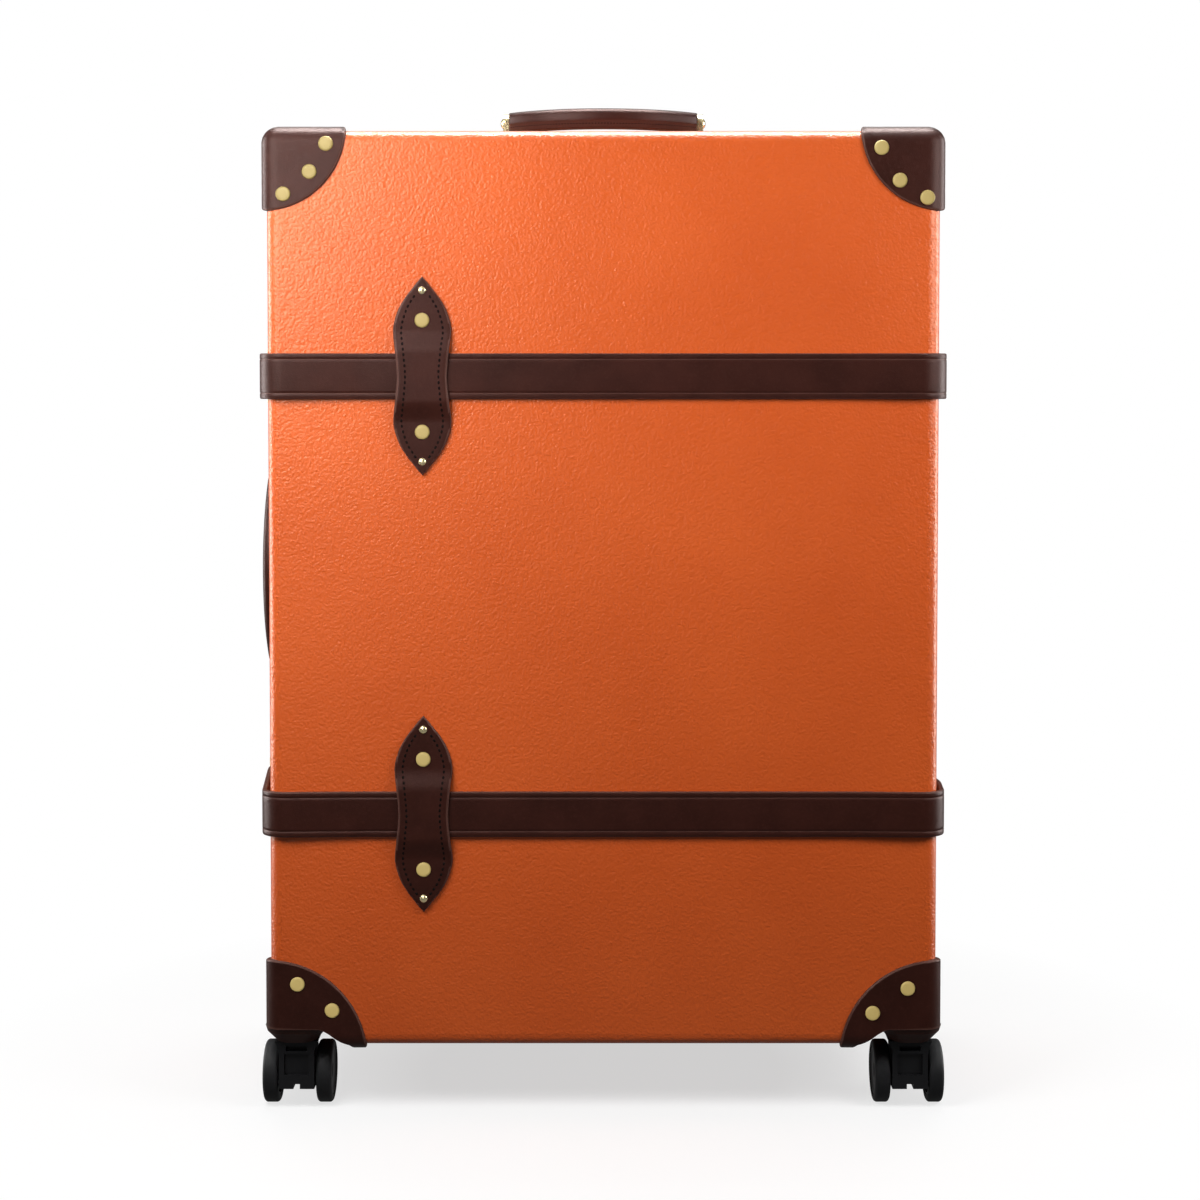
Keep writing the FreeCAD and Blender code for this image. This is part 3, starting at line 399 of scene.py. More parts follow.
def solids_of(name):
    """The box of each separate solid in a node, as (lowest, highest) corners."""
    shape = bmesh.new()
    shape.from_mesh(nodes[name].data)
    bmesh.ops.remove_doubles(shape, verts=shape.verts, dist=SAME_PLACE)
    left = set(shape.verts)
    boxes = []
    while left:
        group = [left.pop()]
        for vertex in group:
            for edge in vertex.link_edges:
                other = edge.other_vert(vertex)
                if other in left:
                    left.remove(other)
                    group.append(other)
        low = Vector([min(vertex.co[i] for vertex in group) for i in range(3)])
        high = Vector([max(vertex.co[i] for vertex in group) for i in range(3)])
        boxes.append((low, high))
    shape.free()
    return boxes


RIVET_HIGH = 0.0013
NAIL_HIGH = 0.0018
HEAD_MIDDLE = 0.01
HEAD_STEPS = 32
RIVET_PROFILE = [
    (0.0, 1.0), (0.55, 1.0), (0.80, 0.97), (0.90, 0.86), (0.97, 0.60), (1.0, 0.30), (0.99, 0.0),
]
NAIL_PROFILE = [
    (math.sin(math.radians(turn)), math.cos(math.radians(turn))) for turn in range(0, 91, 15)
]


def gather(points, faces, more):
    """Add one finished shape to a mesh that holds many."""
    more_points, more_faces = more
    faces += [tuple(i + len(points) for i in face) for face in more_faces]
    points += more_points


def heads(name, node, profile, high, body, material):
    """Turned heads in place of a node's rivets or nails, on the front or the back of the case."""
    points = []
    faces = []
    for low, top in solids_of(node):
        middle = (low + top) / 2
        out = -1 if middle.y < 0 else 1
        seat = (low.y + high) if out < 0 else (top.y - high)
        radius = (top.x - low.x) / 2
        rings = []
        for share, rise in profile:
            ring = []
            for step in range(HEAD_STEPS):
                angle = 2 * math.pi * step / HEAD_STEPS
                across = max(share, HEAD_MIDDLE) * radius
                x = middle.x + across * math.cos(angle)
                z = middle.z + across * math.sin(angle)
                ring.append((x, seat + out * rise * high, z))
            rings.append(ring)
        gather(points, faces, quilt(rings, round_columns=True))
    made = piece(name, points, faces, material)
    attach(made, body)
    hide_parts(node)


heads("front_rivet_heads", "lid_rivets", RIVET_PROFILE, RIVET_HIGH, "lid", brass)
heads("rear_rivet_heads", "base_rivets", RIVET_PROFILE, RIVET_HIGH, "base", brass)
heads("keeper_nail_heads", "keeper_nails", NAIL_PROFILE, NAIL_HIGH, "lid", polished)


# Straps. Bridle leather straps run round the case, with a creased line along both edges. Each is in two
# lengths, one on the lid and one on the base, which meet at the hinges and lap under the buckle at the left.
# The lid's stands a little off the shell where it bends round the front edges and bulges at the sides.

STRAP_THICK = 0.004
FRONT_BEND = 0.016
SIDE_BEND = 0.090
CORNER_ASIDE = 0.0014
CORNER_AHEAD = 0.0028
LIFT_LONG = 0.075
LIFT_BEND = 0.3
RIGHT_BULGE = 0.0053
RIGHT_BULGE_DEPTH = 0.045
RIGHT_SETTLE_DEPTH = 0.095
LEFT_BULGE = 0.013
LEFT_BULGE_DEPTH = 0.110
LEFT_TIP_DEPTH = 0.190
LAP_CLEAR = 0.0012
BASE_TIP_INSET = 0.006
SEAM_HALF_GAP = 0.0002
TIP_LONG = 0.016
TIP_NARROWEST = 0.15
BEND_STEPS = 12
SWEEP_STEP = 0.006
CREASE_FROM = 0.73
CREASE_TO = 0.76
# The crease groove takes this share of the pale edge colour, as a painted highlight along the crease.
CREASE_HIGHLIGHT = 0.7
PAINTED_FROM = 0.94
STRAP_PROFILE = [
    (0.0, 1.0), (0.62, 1.0), (0.715, 0.99), (0.735, 0.90), (0.750, 0.90), (0.770, 0.99), (0.86, 0.99),
    (0.94, 0.98), (0.985, 0.90), (1.0, 0.72), (1.0, 0.22), (0.985, 0.08), (0.955, 0.0),
]
seam_y = shell_high.y + SEAM_HALF_GAP


def rounded_line(points, radii):
    """A line through points in plan, with its corners rounded by arcs."""
    line = [points[0]]
    for before, point, after, radius in zip(points, points[1:], points[2:], radii):
        back = (before - point).normalized()
        ahead = (after - point).normalized()
        half_turn = back.angle(ahead) / 2
        first = point + back * (radius / math.tan(half_turn))
        last = point + ahead * (radius / math.tan(half_turn))
        centre = point + (back + ahead).normalized() * (radius / math.sin(half_turn))
        for step in range(BEND_STEPS + 1):
            arm = (first - centre).slerp(last - centre, step / BEND_STEPS)
            line.append(centre + arm.normalized() * (first - centre).length)
    line.append(points[-1])
    return line


def evenly(line, gap):
    """Points along a line, close enough together for a smooth sweep."""
    dense = []
    for a, b in zip(line, line[1:]):
        count = max(1, round((b - a).length / gap))
        dense += [a.lerp(b, step / count) for step in range(count)]
    return dense + [line[-1]]


def strap(name, node, points, radii, body, tipped):
    """One length of strap, swept along its inner face, anticlockwise from above, with or without a tip."""
    low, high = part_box(node)
    middle_z = (low.z + high.z) / 2
    half = (high.z - low.z) / 2
    line = evenly(rounded_line([Vector((x, y, 0)) for x, y in points], radii), SWEEP_STEP)
    travelled = [0.0]
    for a, b in zip(line, line[1:]):
        travelled.append(travelled[-1] + (b - a).length)
    profile = STRAP_PROFILE + [(-share, lift) for share, lift in reversed(STRAP_PROFILE[1:])]
    rows = []
    edge = []
    for i, point in enumerate(line):
        ahead = line[min(i + 1, len(line) - 1)] - line[max(i - 1, 0)]
        out = ahead.normalized().cross(Vector((0, 0, 1)))
        narrow = 1.0
        if tipped and travelled[i] < TIP_LONG:
            narrow = max(math.sqrt(1 - (1 - travelled[i] / TIP_LONG) ** 2), TIP_NARROWEST)
        row = []
        for share, lift in profile:
            height = middle_z + share * narrow * half
            row.append(point + out * (lift * STRAP_THICK) + Vector((0, 0, height)))
            # Points in the crease groove get part of the pale edge colour: a painted highlight along the
            # crease.
            creased = CREASE_FROM < abs(share) < CREASE_TO
            edge.append(1.0 if abs(share) > PAINTED_FROM else CREASE_HIGHLIGHT if creased else 0.0)
        rows.append(row)
    made = piece(name, *quilt(rows, round_columns=True), leather, edge)
    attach(made, body)
    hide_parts(node)


LAP = STRAP_THICK + LAP_CLEAR
LID_STRAP = [
    (-half_width - LAP, front_y + LEFT_TIP_DEPTH),
    (-half_width - LEFT_BULGE, front_y + LEFT_BULGE_DEPTH),
    (-half_width - CORNER_ASIDE, front_y - CORNER_AHEAD),
    (-half_width + LIFT_LONG, front_y),
    (half_width - LIFT_LONG, front_y),
    (half_width + CORNER_ASIDE, front_y - CORNER_AHEAD),
    (half_width + RIGHT_BULGE, front_y + RIGHT_BULGE_DEPTH),
    (half_width, front_y + RIGHT_SETTLE_DEPTH),
    (half_width, seam_y - SEAM_HALF_GAP),
]
LID_BENDS = [SIDE_BEND, FRONT_BEND, LIFT_BEND, LIFT_BEND, FRONT_BEND, SIDE_BEND, SIDE_BEND]
BASE_STRAP = [
    (half_width, seam_y + SEAM_HALF_GAP),
    (half_width, back_y),
    (-half_width, back_y),
    (-half_width, seam_y + SEAM_HALF_GAP + BASE_TIP_INSET),
]
BASE_BENDS = [EDGE_ROUND, EDGE_ROUND]
for row in ("upper", "lower"):
    strap("front_strap_" + row, "lid_strap_" + row, LID_STRAP, LID_BENDS, "lid", True)
    strap("rear_strap_" + row, "base_strap_" + row, BASE_STRAP, BASE_BENDS, "base", False)


# Keepers. A spindle-shaped leather tab holds each strap to the lid. It is blocked up over the strap, its edge
# is bevelled and painted, and a row of dark thread runs along both of its sides.

KEEPER_THICK = 0.003
KEEPER_CLEAR = 0.00005
KEEPER_OUTLINE = [
    (0.0782, 0.0), (0.0740, 0.0040), (0.0698, 0.0072), (0.0624, 0.0130), (0.0525, 0.0188), (0.0377, 0.0229),
    (0.0200, 0.0213), (0.0, 0.0197),
]
KEEPER_SHARES = [
    -1.0, -0.985, -0.95, -0.90, -0.82, -0.6, -0.3, 0.0, 0.3, 0.6, 0.82, 0.90, 0.95, 0.985, 1.0,
]
KEEPER_STEPS = 160
KEEPER_TIP_BLUNT = 0.0003
KEEPER_TIP_FLAT = 0.0002
KEEPER_RAMP = 0.019
KEEPER_BEVEL = 0.0016
KEEPER_PAINT = 0.7
STITCH_INSET = 0.0066
STITCH_FROM_TIP = 0.0135
STITCH_STEPS = 200
STITCH_LONG = 0.0030
STITCH_GAP = 0.0014
THREAD_WIDE = 0.0011
THREAD_HIGH = 0.0004
THREAD_SUNK = 1.4
THREAD_STEPS = 8
TUCK = [(-1.0, 0.25), (-0.8, 0.8), (0.0, 1.0), (0.8, 0.8), (1.0, 0.25)]


def waxed_thread():
    finish = Finish("waxed_thread")
    twist = finish.noise(2400, 1)
    return finish.shade(
        Base_Color=finish.mix(twist, (0.003, 0.0015, 0.001, 1), (0.006, 0.003, 0.002, 1)),
        Roughness=0.8,
        Specular_IOR_Level=0.1,
        Normal=finish.bump(twist, 0.0001, 0.6),
    )


thread = waxed_thread()


def through(knots, value):
    """A smooth curve through knots of (place, size), in cubic stretches, mirrored about zero."""
    value = abs(value)
    ordered = sorted(knots)
    ordered = [(-ordered[1][0], ordered[1][1])] + ordered
    ordered.append((2 * ordered[-1][0] - ordered[-2][0], 2 * ordered[-1][1] - ordered[-2][1]))
    for before, a, b, after in zip(ordered, ordered[1:], ordered[2:], ordered[3:]):
        if a[0] <= value <= b[0]:
            span = b[0] - a[0]
            share = (value - a[0]) / span
            slope_a = (b[1] - before[1]) / (b[0] - before[0]) * span
            slope_b = (after[1] - a[1]) / (after[0] - a[0]) * span
            gap = b[1] - a[1]
            bend = 3 * gap - 2 * slope_a - slope_b
            twist = slope_a + slope_b - 2 * gap
            return max(a[1] + share * (slope_a + share * (bend + share * twist)), 0.0)
    return 0.0


def arch_lift(height, strap_half):
    """How far the keeper's inner face stands off the lid at a height from its middle."""
    top = STRAP_THICK + KEEPER_CLEAR
    ramp = (abs(height) - strap_half - KEEPER_CLEAR) / KEEPER_RAMP
    eased = min(max(ramp, 0.0), 1.0)
    return top * (1 - eased * eased * (3 - 2 * eased))


def stitches(name, line, outs, body, long=STITCH_LONG, gap=STITCH_GAP, wide=THREAD_WIDE):
    """A row of thread, one short tuck after another along a line, half sunk into the leather."""
    points = []
    faces = []
    travelled = 0.0
    start = 0.0
    for a, b, out in zip(line, line[1:], outs):
        run = b - a
        while start + long / 2 < travelled + run.length:
            middle = a + run.normalized() * (start + long / 2 - travelled)
            ahead = run.normalized()
            across = ahead.cross(out).normalized()
            rings = []
            for along, thick in TUCK:
                sunk = out * (THREAD_HIGH * (thick - THREAD_SUNK))
                centre = middle + ahead * (along * long / 2) + sunk
                ring = []
                for step in range(THREAD_STEPS):
                    angle = 2 * math.pi * step / THREAD_STEPS
                    round_it = across * (wide * math.cos(angle)) + out * (THREAD_HIGH * math.sin(angle))
                    ring.append(centre + round_it * thick)
                rings.append(ring)
            gather(points, faces, quilt(rings, round_columns=True))
            start += long + gap
        travelled += run.length
    made = piece(name, points, faces, thread)
    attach(made, body)


def keeper(row):
    """One keeper and its two rows of thread."""
    low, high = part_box("keeper_" + row)
    strap_low, strap_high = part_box("lid_strap_" + row)
    strap_half = (strap_high.z - strap_low.z) / 2
    middle = (low + high) / 2
    half = KEEPER_OUTLINE[0][0]
    rows = []
    edge = []
    for step in range(KEEPER_STEPS + 1):
        height = -half + 2 * half * step / KEEPER_STEPS
        wide = max(through(KEEPER_OUTLINE, height), KEEPER_TIP_BLUNT)
        lift = arch_lift(height, strap_half)
        row_points = []
        for share in KEEPER_SHARES:
            inset = min((1 - abs(share)) * wide, half - abs(height) + KEEPER_TIP_FLAT)
            drop = 0.0
            if inset < KEEPER_BEVEL:
                level = max(KEEPER_BEVEL ** 2 - (KEEPER_BEVEL - inset) ** 2, 0.0)
                drop = KEEPER_BEVEL - math.sqrt(level)
            y = front_y - lift - KEEPER_THICK + drop
            row_points.append(Vector((middle.x + share * wide, y, middle.z + height)))
            edge.append(1.0 if inset < KEEPER_BEVEL * KEEPER_PAINT else 0.0)
        for share in reversed(KEEPER_SHARES):
            row_points.append(Vector((middle.x + share * wide, front_y - lift, middle.z + height)))
            edge.append(1.0 if abs(share) == 1.0 else 0.0)
        rows.append(row_points)
    made = piece("keeper_tab_" + row, *quilt(rows, round_columns=True), leather, edge)
    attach(made, "lid")
    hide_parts("keeper_" + row)
    for side in (-1, 1):
        line = []
        for step in range(STITCH_STEPS + 1):
            height = (half - STITCH_FROM_TIP) * (2 * step / STITCH_STEPS - 1)
            wide = through(KEEPER_OUTLINE, height) - STITCH_INSET
            y = front_y - arch_lift(height, strap_half) - KEEPER_THICK
            line.append(Vector((middle.x + side * wide, y, middle.z + height)))
        outs = [Vector((0, -1, 0))] * len(line)
        stitches("keeper_thread_" + row + ("_a" if side < 0 else "_b"), line, outs, "lid")


for row in ("upper", "lower"):
    keeper(row)


# Dress buckles and loops. A square brass frame with a pin lies on the strap at the left, followed by a fixed
# leather loop. A press stud under the frame does the fastening.

LOOP_ROUND = 0.0004
SOFT_TURN = math.radians(40)


def soften(width, *names):
    """Round the sharp edges of carried-over nodes a little, as castings and mouldings have them."""
    for name in names:
        weld = nodes[name].modifiers.new("weld", "WELD")
        weld.merge_threshold = SAME_PLACE
        bevel = nodes[name].modifiers.new("soft_edges", "BEVEL")
        bevel.width = width
        bevel.segments = 2
        bevel.limit_method = "ANGLE"
        bevel.angle_limit = SOFT_TURN
        bevel.harden_normals = True


dress(brass, "strap_buckles")
dress(leather, "strap_loops")
soften(LOOP_ROUND, "strap_loops")


# Hinges and locks. Three brass butt hinges on the right; on the left two locks, each a case with a thumb
# slider on the base and a catch on the lid.

PLATE_ROUND = 0.0003

dress(brass, "hinge_leaves_lid", "hinge_leaves_base", "hinge_pins", "lock_cases", "lock_catches")
dress(brass, "lock_slider_upper", "lock_slider_lower")
soften(PLATE_ROUND, "hinge_leaves_lid", "hinge_leaves_base", "lock_cases", "lock_catches")


# Carry handles. A bowed leather grip folds down towards the front between two brass posts, on the top and on
# the left side. The leather is wrapped round a core, and sewn along its crown and its lower edges.

HANDLE_HALF_LONG = 0.080
HANDLE_BOW = 0.038
HANDLE_HALF_WIDE = 0.010
HANDLE_HALF_HIGH = 0.00825
CROWN_ROUND = 0.005
CROWN_FLAT = HANDLE_HALF_WIDE - CROWN_ROUND
CROWN_SPRING = HANDLE_HALF_HIGH - CROWN_ROUND
HANDLE_SECTION = [(0.0, HANDLE_HALF_HIGH), (0.0035, HANDLE_HALF_HIGH), (CROWN_FLAT, HANDLE_HALF_HIGH)]
for turn in range(15, 91, 15):
    across = CROWN_FLAT + CROWN_ROUND * math.sin(math.radians(turn))
    HANDLE_SECTION.append((across, CROWN_SPRING + CROWN_ROUND * math.cos(math.radians(turn))))
HANDLE_SECTION += [
    (0.0100, 0.0005), (0.0100, -0.0016), (0.0098, -0.0021), (0.0093, -0.0024), (0.0089, -0.0031),
    (0.0080, -0.0052), (0.0069, -0.0075), (0.0063, -0.0081), (0.0055, -0.00825), (0.0006, -0.00825),
    (0.0003, -0.0078), (0.0, -0.0077),
]
CROWN_STITCH = (0.0074, 0.0076, 0.00046, 0.00088)
FLANGE_STITCH = (0.0083, -0.0045, 0.00089, -0.00045)
HANDLE_STITCH_LONG = 0.0019
HANDLE_STITCH_GAP = 0.0007
HANDLE_THREAD_WIDE = 0.0005
HANDLE_STITCH_REACH = 0.985
HANDLE_STEPS = 60
FLANGE_UP = -0.002
CROWN_UP = 0.0068
# The crown and the lower flange take this share of the pale edge colour, as a painted highlight of light from
# above.
CROWN_AND_FLANGE_HIGHLIGHT = 0.35
POST_ROUND = 0.0005

grip_low, grip_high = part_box("top_handle_grip")
grip_z = (grip_low.z + grip_high.z) / 2
bow_r = (HANDLE_HALF_LONG ** 2 + HANDLE_BOW ** 2) / (2 * HANDLE_BOW)
bow_y = grip_low.y + HANDLE_HALF_WIDE + bow_r
side_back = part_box("side_handle_grip")[0].y - grip_low.y


def bowed(across, up, share):
    """A place in the top handle: a share along its bow, with ends that are cut square."""
    reach = bow_r + across
    turn = share * math.asin(HANDLE_HALF_LONG / reach)
    return Vector((reach * math.sin(turn), bow_y - reach * math.cos(turn), grip_z + up))


def on_side(point):
    """The same place in the side handle, which is the top handle turned onto the left wall and moved back."""
    middle_z = (bottom_z + top_z) / 2
    return Vector((top_z - point.z - half_width, point.y + side_back, point.x + middle_z))


def carry_handle(name, place):
    """One grip and its thread; place takes a point of the top handle to where this handle is."""
    section = HANDLE_SECTION + [(-across, up) for across, up in reversed(HANDLE_SECTION[1:-1])]
    shares = [2 * step / HANDLE_STEPS - 1 for step in range(HANDLE_STEPS + 1)]
    rows = [[place(bowed(across, up, share)) for across, up in section] for share in shares]
    # The crown and the flange are painted paler: a painted highlight where the light from above catches them.
    edge = [0.0 if FLANGE_UP <= up <= CROWN_UP else CROWN_AND_FLANGE_HIGHLIGHT for across, up in section] * len(shares)
    made = piece(name + "_handle_leather", *quilt(rows, round_columns=True), leather, edge)
    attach(made, name + "_handle")
    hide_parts(name + "_handle_grip")
    for front, which in ((1, "front"), (-1, "back")):
        for row, (across, up, out, lift) in (("crown", CROWN_STITCH), ("flange", FLANGE_STITCH)):
            sewn = [share * HANDLE_STITCH_REACH for share in shares]
            line = [place(bowed(front * across, up, share)) for share in sewn]
            above = [place(bowed(front * (across + out), up + lift, share)) for share in sewn]
            outs = [(b - a).normalized() for a, b in zip(line, above)]
            stitches(
                "_".join([name, row, "thread", which]), line, outs, name + "_handle",
                HANDLE_STITCH_LONG, HANDLE_STITCH_GAP, HANDLE_THREAD_WIDE,
            )


carry_handle("top", lambda point: point)
carry_handle("side", on_side)
dress(polished, "handle_posts", "handle_pins")
soften(POST_ROUND, "handle_posts")


# Trolley. Two telescopic aluminium legs run in sleeves inside the back, through a brass plate in the top, and
# carry a leather-covered grip with a brass button.

TOP_PLATE_ROUND = 0.0004

dress(aluminium, "trolley_sleeves", "trolley_middle_tubes", "trolley_inner_tubes")
dress(brass, "trolley_top_plate", "trolley_button")
dress(leather, "trolley_grip")
soften(TOP_PLATE_ROUND, "trolley_top_plate")


# Castors. A brown moulded cup under each corner carries a black fork on a kingpin; two wheels with rubber
# tyres turn on a steel axle through the fork's boss.

def moulded(name, dark, light, roughness):
    finish = Finish(name)
    haze = finish.noise(60, 3)
    grit = finish.noise(2600, 1)
    return finish.shade(
        Base_Color=finish.mix(haze, (*dark, 1), (*light, 1)),
        Roughness=finish.spread(grit, 0.3, 0.7, roughness - 0.06, roughness + 0.06),
        Specular_IOR_Level=0.2,
        Normal=finish.bump(grit, 0.00006, 0.5),
    )


def ground_steel():
    finish = Finish("ground_steel")
    turned = finish.noise(500, 2, 0.5, finish.stretched(6, 0.3, 0.3))
    return finish.shade(
        Base_Color=finish.mix(turned, (0.42, 0.42, 0.43, 1), (0.55, 0.55, 0.55, 1)),
        Metallic=1.0,
        Roughness=0.32,
    )


cup_plastic = moulded("brown_moulding", (0.034, 0.010, 0.006), (0.044, 0.014, 0.009), 0.45)
fork_plastic = moulded("black_moulding", (0.008, 0.008, 0.009), (0.013, 0.013, 0.014), 0.42)
tyre_rubber = moulded("tyre_rubber", (0.010, 0.010, 0.011), (0.018, 0.018, 0.019), 0.55)
hub_plastic = moulded("hub_plastic", (0.022, 0.022, 0.023), (0.032, 0.032, 0.033), 0.40)
steel = ground_steel()
dress(fork_plastic, "trolley_foot")

TREAD_ROUND = 0.0030
TREAD_HALF_FLAT = 0.00325
TREAD_SPRING = 0.0220
TREAD_TURNS = [-70, -50, -30, -10, 10, 30, 50, 70]
TYRE_PROFILE = [(-0.0058, 0.0190), (-0.00625, 0.0196), (-0.00625, 0.0221)]
for turn in TREAD_TURNS:
    along = math.copysign(TREAD_HALF_FLAT, turn) + TREAD_ROUND * math.sin(math.radians(turn))
    TYRE_PROFILE.append((along, TREAD_SPRING + TREAD_ROUND * math.cos(math.radians(turn))))
TYRE_PROFILE += [(0.00625, 0.0221), (0.00625, 0.0196), (0.0058, 0.0190)]
HUB_PROFILE = [
    (0.0054, 0.0001), (0.0054, 0.0052), (0.0050, 0.0058), (0.0050, 0.0160), (0.0055, 0.0166),
    (0.0055, 0.0186), (0.0052, 0.0189), (-0.0053, 0.0189), (-0.0056, 0.0186), (-0.0056, 0.0176),
    (0.0024, 0.0172), (0.0024, 0.0076), (-0.0058, 0.0069), (-0.0062, 0.0065), (-0.0062, 0.0031),
    (0.0018, 0.0031), (0.0018, 0.0001),
]
WHEEL_STEPS = 48
SPOKE_COUNT = 6
SPOKE_HALF_WIDE = 0.0015
SPOKE_EDGE = [(0.0068, -0.0050), (0.0120, -0.0036), (0.0175, -0.0048)]
SPOKE_ROOT = 0.0028
FORK_ROUND = 0.0006


def turned(centre, away, profile):
    """Rings of a profile of (distance towards the open side, radius) turned about an axle along X."""
    rings = []
    for along, radius in profile:
        ring = []
        for step in range(WHEEL_STEPS):
            angle = 2 * math.pi * step / WHEEL_STEPS
            place = Vector((away * along, radius * math.cos(angle), radius * math.sin(angle)))
            ring.append(centre + place)
        rings.append(ring)
    return rings


def spokes(centre, away):
    """Flat ribs between the hub and the rim, behind the wheel's disc."""
    points = []
    faces = []
    for number in range(SPOKE_COUNT):
        angle = 2 * math.pi * number / SPOKE_COUNT
        out = Vector((0, math.cos(angle), math.sin(angle)))
        across = Vector((0, -math.sin(angle), math.cos(angle))) * SPOKE_HALF_WIDE
        rows = []
        for radius, deep in SPOKE_EDGE:
            near = centre + out * radius + Vector((away * deep, 0, 0))
            far = centre + out * radius + Vector((away * SPOKE_ROOT, 0, 0))
            rows.append([near - across, near + across, far + across, far - across])
        gather(points, faces, quilt(rows, round_columns=True))
    return points, faces


def wheel(name, castor_x):
    """A rubber tyre on a spoked hub with a closed disc on the side away from the fork."""
    low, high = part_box("wheel_" + name)
    centre = (low + high) / 2
    away = 1 if centre.x > castor_x else -1
    tyre = piece("tyre_" + name, *quilt(turned(centre, away, TYRE_PROFILE), True, True), tyre_rubber)
    hub_points, hub_faces = quilt(turned(centre, away, HUB_PROFILE), round_columns=True)
    gather(hub_points, hub_faces, spokes(centre, away))
    hub = piece("hub_" + name, hub_points, hub_faces, hub_plastic)
    for made in (tyre, hub):
        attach(made, "wheel_" + name)
        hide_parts("wheel_" + name)


for end in ("front", "rear"):
    for side in ("left", "right"):
        name = end + "_" + side
        dress(cup_plastic, "castor_housing_" + name)
        dress(fork_plastic, "castor_fork_" + name)
        dress(steel, "castor_axle_" + name)
        fork_low, fork_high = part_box("castor_fork_" + name)
        castor_x = (fork_low.x + fork_high.x) / 2
        wheel(name + "_outer", castor_x)
        wheel(name + "_inner", castor_x)
        soften(FORK_ROUND, "castor_fork_" + name)


# Studio. The camera sees a white surround, and a floor that is grey under the case and fades to white. In
# reflections the surround is dark at the horizon and pale overhead. Soft lamps stand in front, at the sides
# and above; some show only in gloss, for the rounded edges, and one lights the front rivets alone.

FLOOR_GREY = 0.45
FLOOR_GREY_IN_GLOSS = 0.15
FLOOR_GREY_IN_BOUNCE = 0.15
FLOOR_GLOW = 0.61
FLOOR_GLOW_IN_GLOSS = 0.15
FADE_NEAR = 0.15
FADE_FAR = 0.58
WORLD_LIGHT = 0.02
HORIZON_IN_GLOSS = 0.03
OVERHEAD_IN_GLOSS = 0.35
HORIZON_UP_TO = 0.25
OVERHEAD_FROM = 0.80
FLOOR_REACH = 12.0


def chained(tree, operation, first, second):
    """One step of arithmetic in a node tree."""
    node = tree.nodes.new("ShaderNodeMath")
    node.operation = operation
    for socket, value in zip(node.inputs, (first, second)):
        if isinstance(value, bpy.types.NodeSocket):
            tree.links.new(value, socket)
        else:
            socket.default_value = value
    return node.outputs[0]


def seen_level(tree, to_camera, in_gloss, otherwise):
    """One level for the camera, one for what gloss and glass show, and one for light that falls on things."""
    path = tree.nodes.new("ShaderNodeLightPath")
    camera_ray = path.outputs["Is Camera Ray"]
    gloss = chained(tree, "ADD", path.outputs["Is Glossy Ray"], path.outputs["Is Transmission Ray"])
    gloss = chained(tree, "MINIMUM", gloss, 1.0)
    rest = chained(tree, "SUBTRACT", 1.0, chained(tree, "MAXIMUM", camera_ray, gloss))
    total = chained(tree, "MULTIPLY", camera_ray, to_camera)
    total = chained(tree, "ADD", total, chained(tree, "MULTIPLY", gloss, in_gloss))
    return chained(tree, "ADD", total, chained(tree, "MULTIPLY", rest, otherwise))


world = bpy.data.worlds.new("studio")
bpy.context.scene.world = world
world.use_nodes = True
surround = world.node_tree
background = surround.nodes["Background"]
background.inputs["Color"].default_value = (1, 1, 1, 1)
direction = surround.nodes.new("ShaderNodeSeparateXYZ")
surround.links.new(surround.nodes.new("ShaderNodeTexCoord").outputs["Generated"], direction.inputs[0])
height = surround.nodes.new("ShaderNodeMapRange")
height.interpolation_type = "SMOOTHSTEP"
height.inputs["From Min"].default_value = HORIZON_UP_TO
height.inputs["From Max"].default_value = OVERHEAD_FROM
height.inputs["To Min"].default_value = HORIZON_IN_GLOSS
height.inputs["To Max"].default_value = OVERHEAD_IN_GLOSS
surround.links.new(direction.outputs["Z"], height.inputs["Value"])
level = seen_level(surround, 1.0, height.outputs["Result"], WORLD_LIGHT)
surround.links.new(level, background.inputs["Strength"])

floor_finish = Finish("floor_paint")
on_floor = floor_finish.add("ShaderNodeVectorMath", {0: floor_finish.place}, operation="LENGTH")
near = floor_finish.spread(on_floor.outputs["Value"], FADE_NEAR, FADE_FAR, 1.0, 0.0)
far = floor_finish.sum(1.0, near, "SUBTRACT")
glow = floor_finish.sum(far, floor_finish.sum(near, FLOOR_GLOW, "MULTIPLY"))
grey = seen_level(floor_finish.tree, FLOOR_GREY, FLOOR_GREY_IN_GLOSS, FLOOR_GREY_IN_BOUNCE)
grey = floor_finish.sum(near, grey, "MULTIPLY")
floor_paint = floor_finish.shade(
    Base_Color=grey,
    Roughness=0.9,
    Specular_IOR_Level=0.0,
    Emission_Color=(1, 1, 1, 1),
    Emission_Strength=seen_level(floor_finish.tree, glow, FLOOR_GLOW_IN_GLOSS, 0.0),
)
corners = [(x * FLOOR_REACH, y * FLOOR_REACH, 0) for x, y in ((-1, -1), (1, -1), (1, 1), (-1, 1))]
floor = piece("floor", corners, [(0, 1, 2, 3)], floor_paint)


def linked(name, made, state):
    """A collection that tells a lamp to light only one object, or all but that one."""
    group = bpy.data.collections.new(name)
    group.objects.link(made)
    group.collection_objects[0].light_linking.link_state = state
    return group


def soft_light(name, place, aim, size, power, lit=None, gloss_only=False):
    """A rectangular lamp that the camera doesn't see; one for gloss only shows just in reflections."""
    lamp = bpy.data.lights.new(name, "AREA")
    lamp.shape = "RECTANGLE"
    lamp.size, lamp.size_y = size
    lamp.energy = power
    made = bpy.data.objects.new(name, lamp)
    made.location = place
    made.rotation_euler = (Vector(aim) - Vector(place)).to_track_quat("-Z", "Y").to_euler()
    made.visible_camera = False
    made.visible_diffuse = not gloss_only
    made.light_linking.receiver_collection = lit
    bpy.context.scene.collection.objects.link(made)


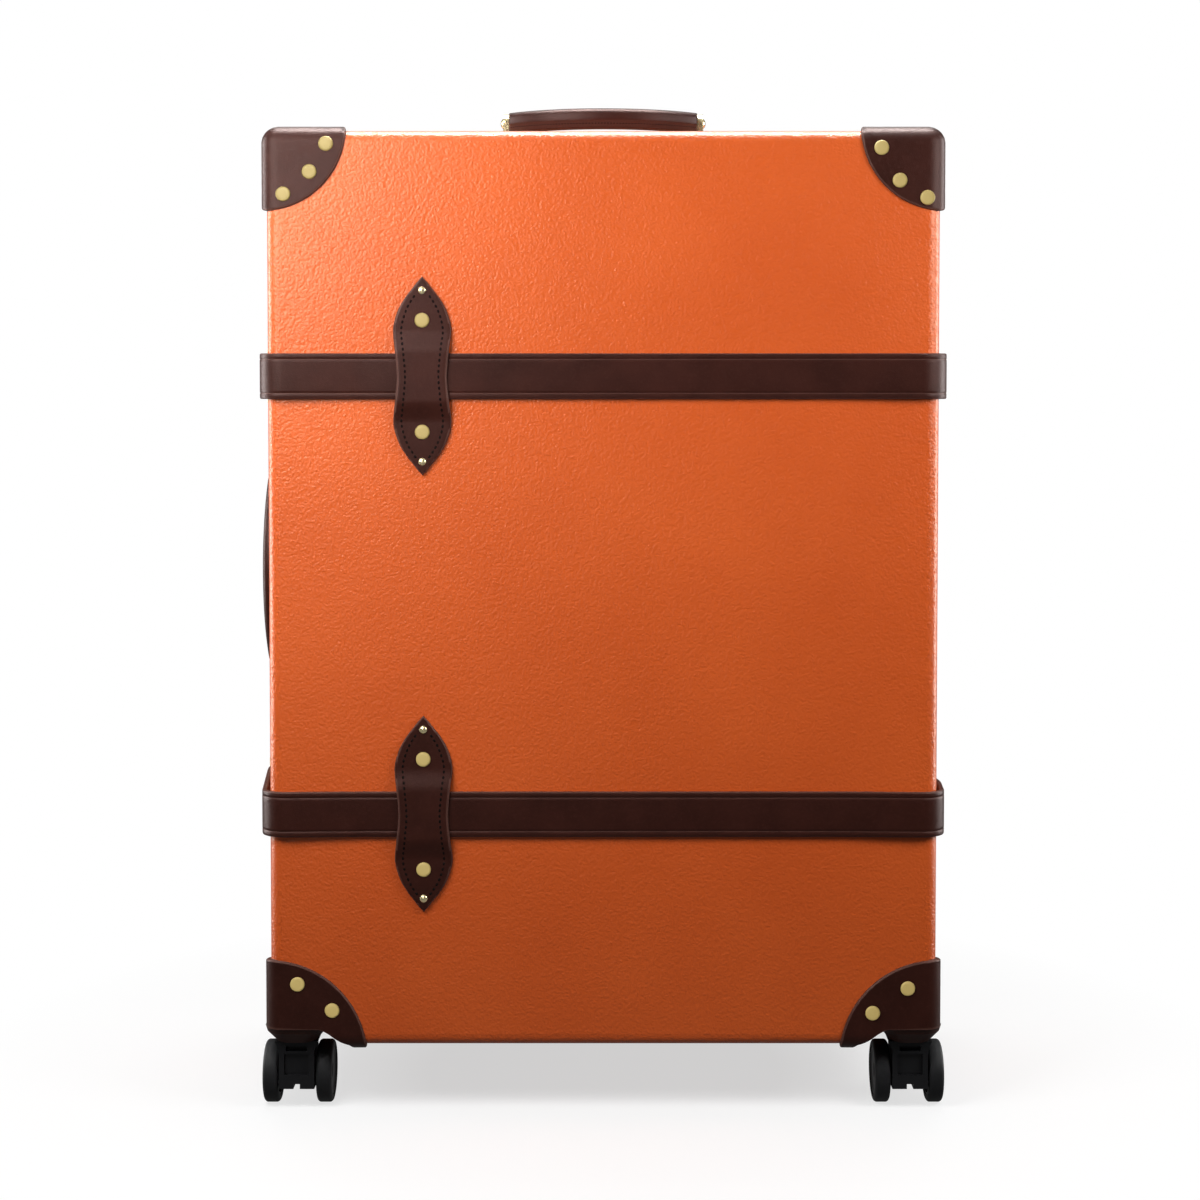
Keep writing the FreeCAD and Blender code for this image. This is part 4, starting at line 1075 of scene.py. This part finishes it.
no_floor = linked("floor_kept_dark", floor, "EXCLUDE")
no_rivets = linked("rivets_kept_even", bpy.data.objects["front_rivet_heads"], "EXCLUDE")
rivets_only = linked("rivets_alone", bpy.data.objects["front_rivet_heads"], "INCLUDE")
soft_light("key", (-0.48, -0.60, 0.87), (-0.14, front_y, 0.64), (0.5, 0.5), 7.5, no_rivets)
soft_light("sheen", (-0.56, -2.05, 0.62), (-0.12, front_y, 0.60), (0.4, 0.7), 2.0, no_rivets)
soft_light("right", (0.82, -0.58, 0.84), (0.10, front_y, 0.60), (0.5, 0.5), 6.6, no_rivets)
soft_light("rivets", (-0.70, -2.60, 1.30), (0, front_y, 0.45), (0.6, 0.6), 62, rivets_only)
soft_light("left_fill", (-1.30, 0.10, 0.60), (-half_width, 0, 0.45), (0.5, 1.2), 9, no_floor)
soft_light("left_rim", (-1.30, 0.25, 0.60), (-half_width, 0, 0.45), (0.5, 1.2), 14, no_floor, True)
soft_light("right_fill", (1.30, 0.10, 0.60), (half_width, 0, 0.45), (0.5, 1.2), 7, no_floor)
soft_light("right_rim", (1.30, 0.25, 0.60), (half_width, 0, 0.45), (0.5, 1.2), 12, no_floor, True)
soft_light("top", (0.0, 0.45, 1.75), (0, 0.05, 0.7), (1.4, 0.8), 14)
soft_light("top_edge", (0.0, -0.05, 1.45), (0, -0.05, 0.75), (0.9, 0.14), 34, no_floor, True)


# Camera. It stands in front of the case, a little above its middle, and looks almost level. Its view is
# shifted down, which keeps upright edges nearly upright in the picture.

CAMERA_BACK = 1.75
CAMERA_HIGH = 0.59
CAMERA_ASIDE = -0.0027
LOOK_HIGH = 0.5228
LENS = 66.5
SENSOR_WIDE = 36
SHIFT_DOWN = -0.115

lens = bpy.data.cameras.new("camera")
lens.lens = LENS
lens.sensor_width = SENSOR_WIDE
lens.shift_y = SHIFT_DOWN
camera = bpy.data.objects.new("camera", lens)
camera.location = (CAMERA_ASIDE, front_y - CAMERA_BACK, CAMERA_HIGH)
tilt = math.atan2(CAMERA_HIGH - LOOK_HIGH, CAMERA_BACK)
camera.rotation_euler = (math.pi / 2 - tilt, 0, 0)
bpy.context.scene.collection.objects.link(camera)
bpy.context.scene.camera = camera
bpy.context.scene.view_settings.view_transform = "Standard"
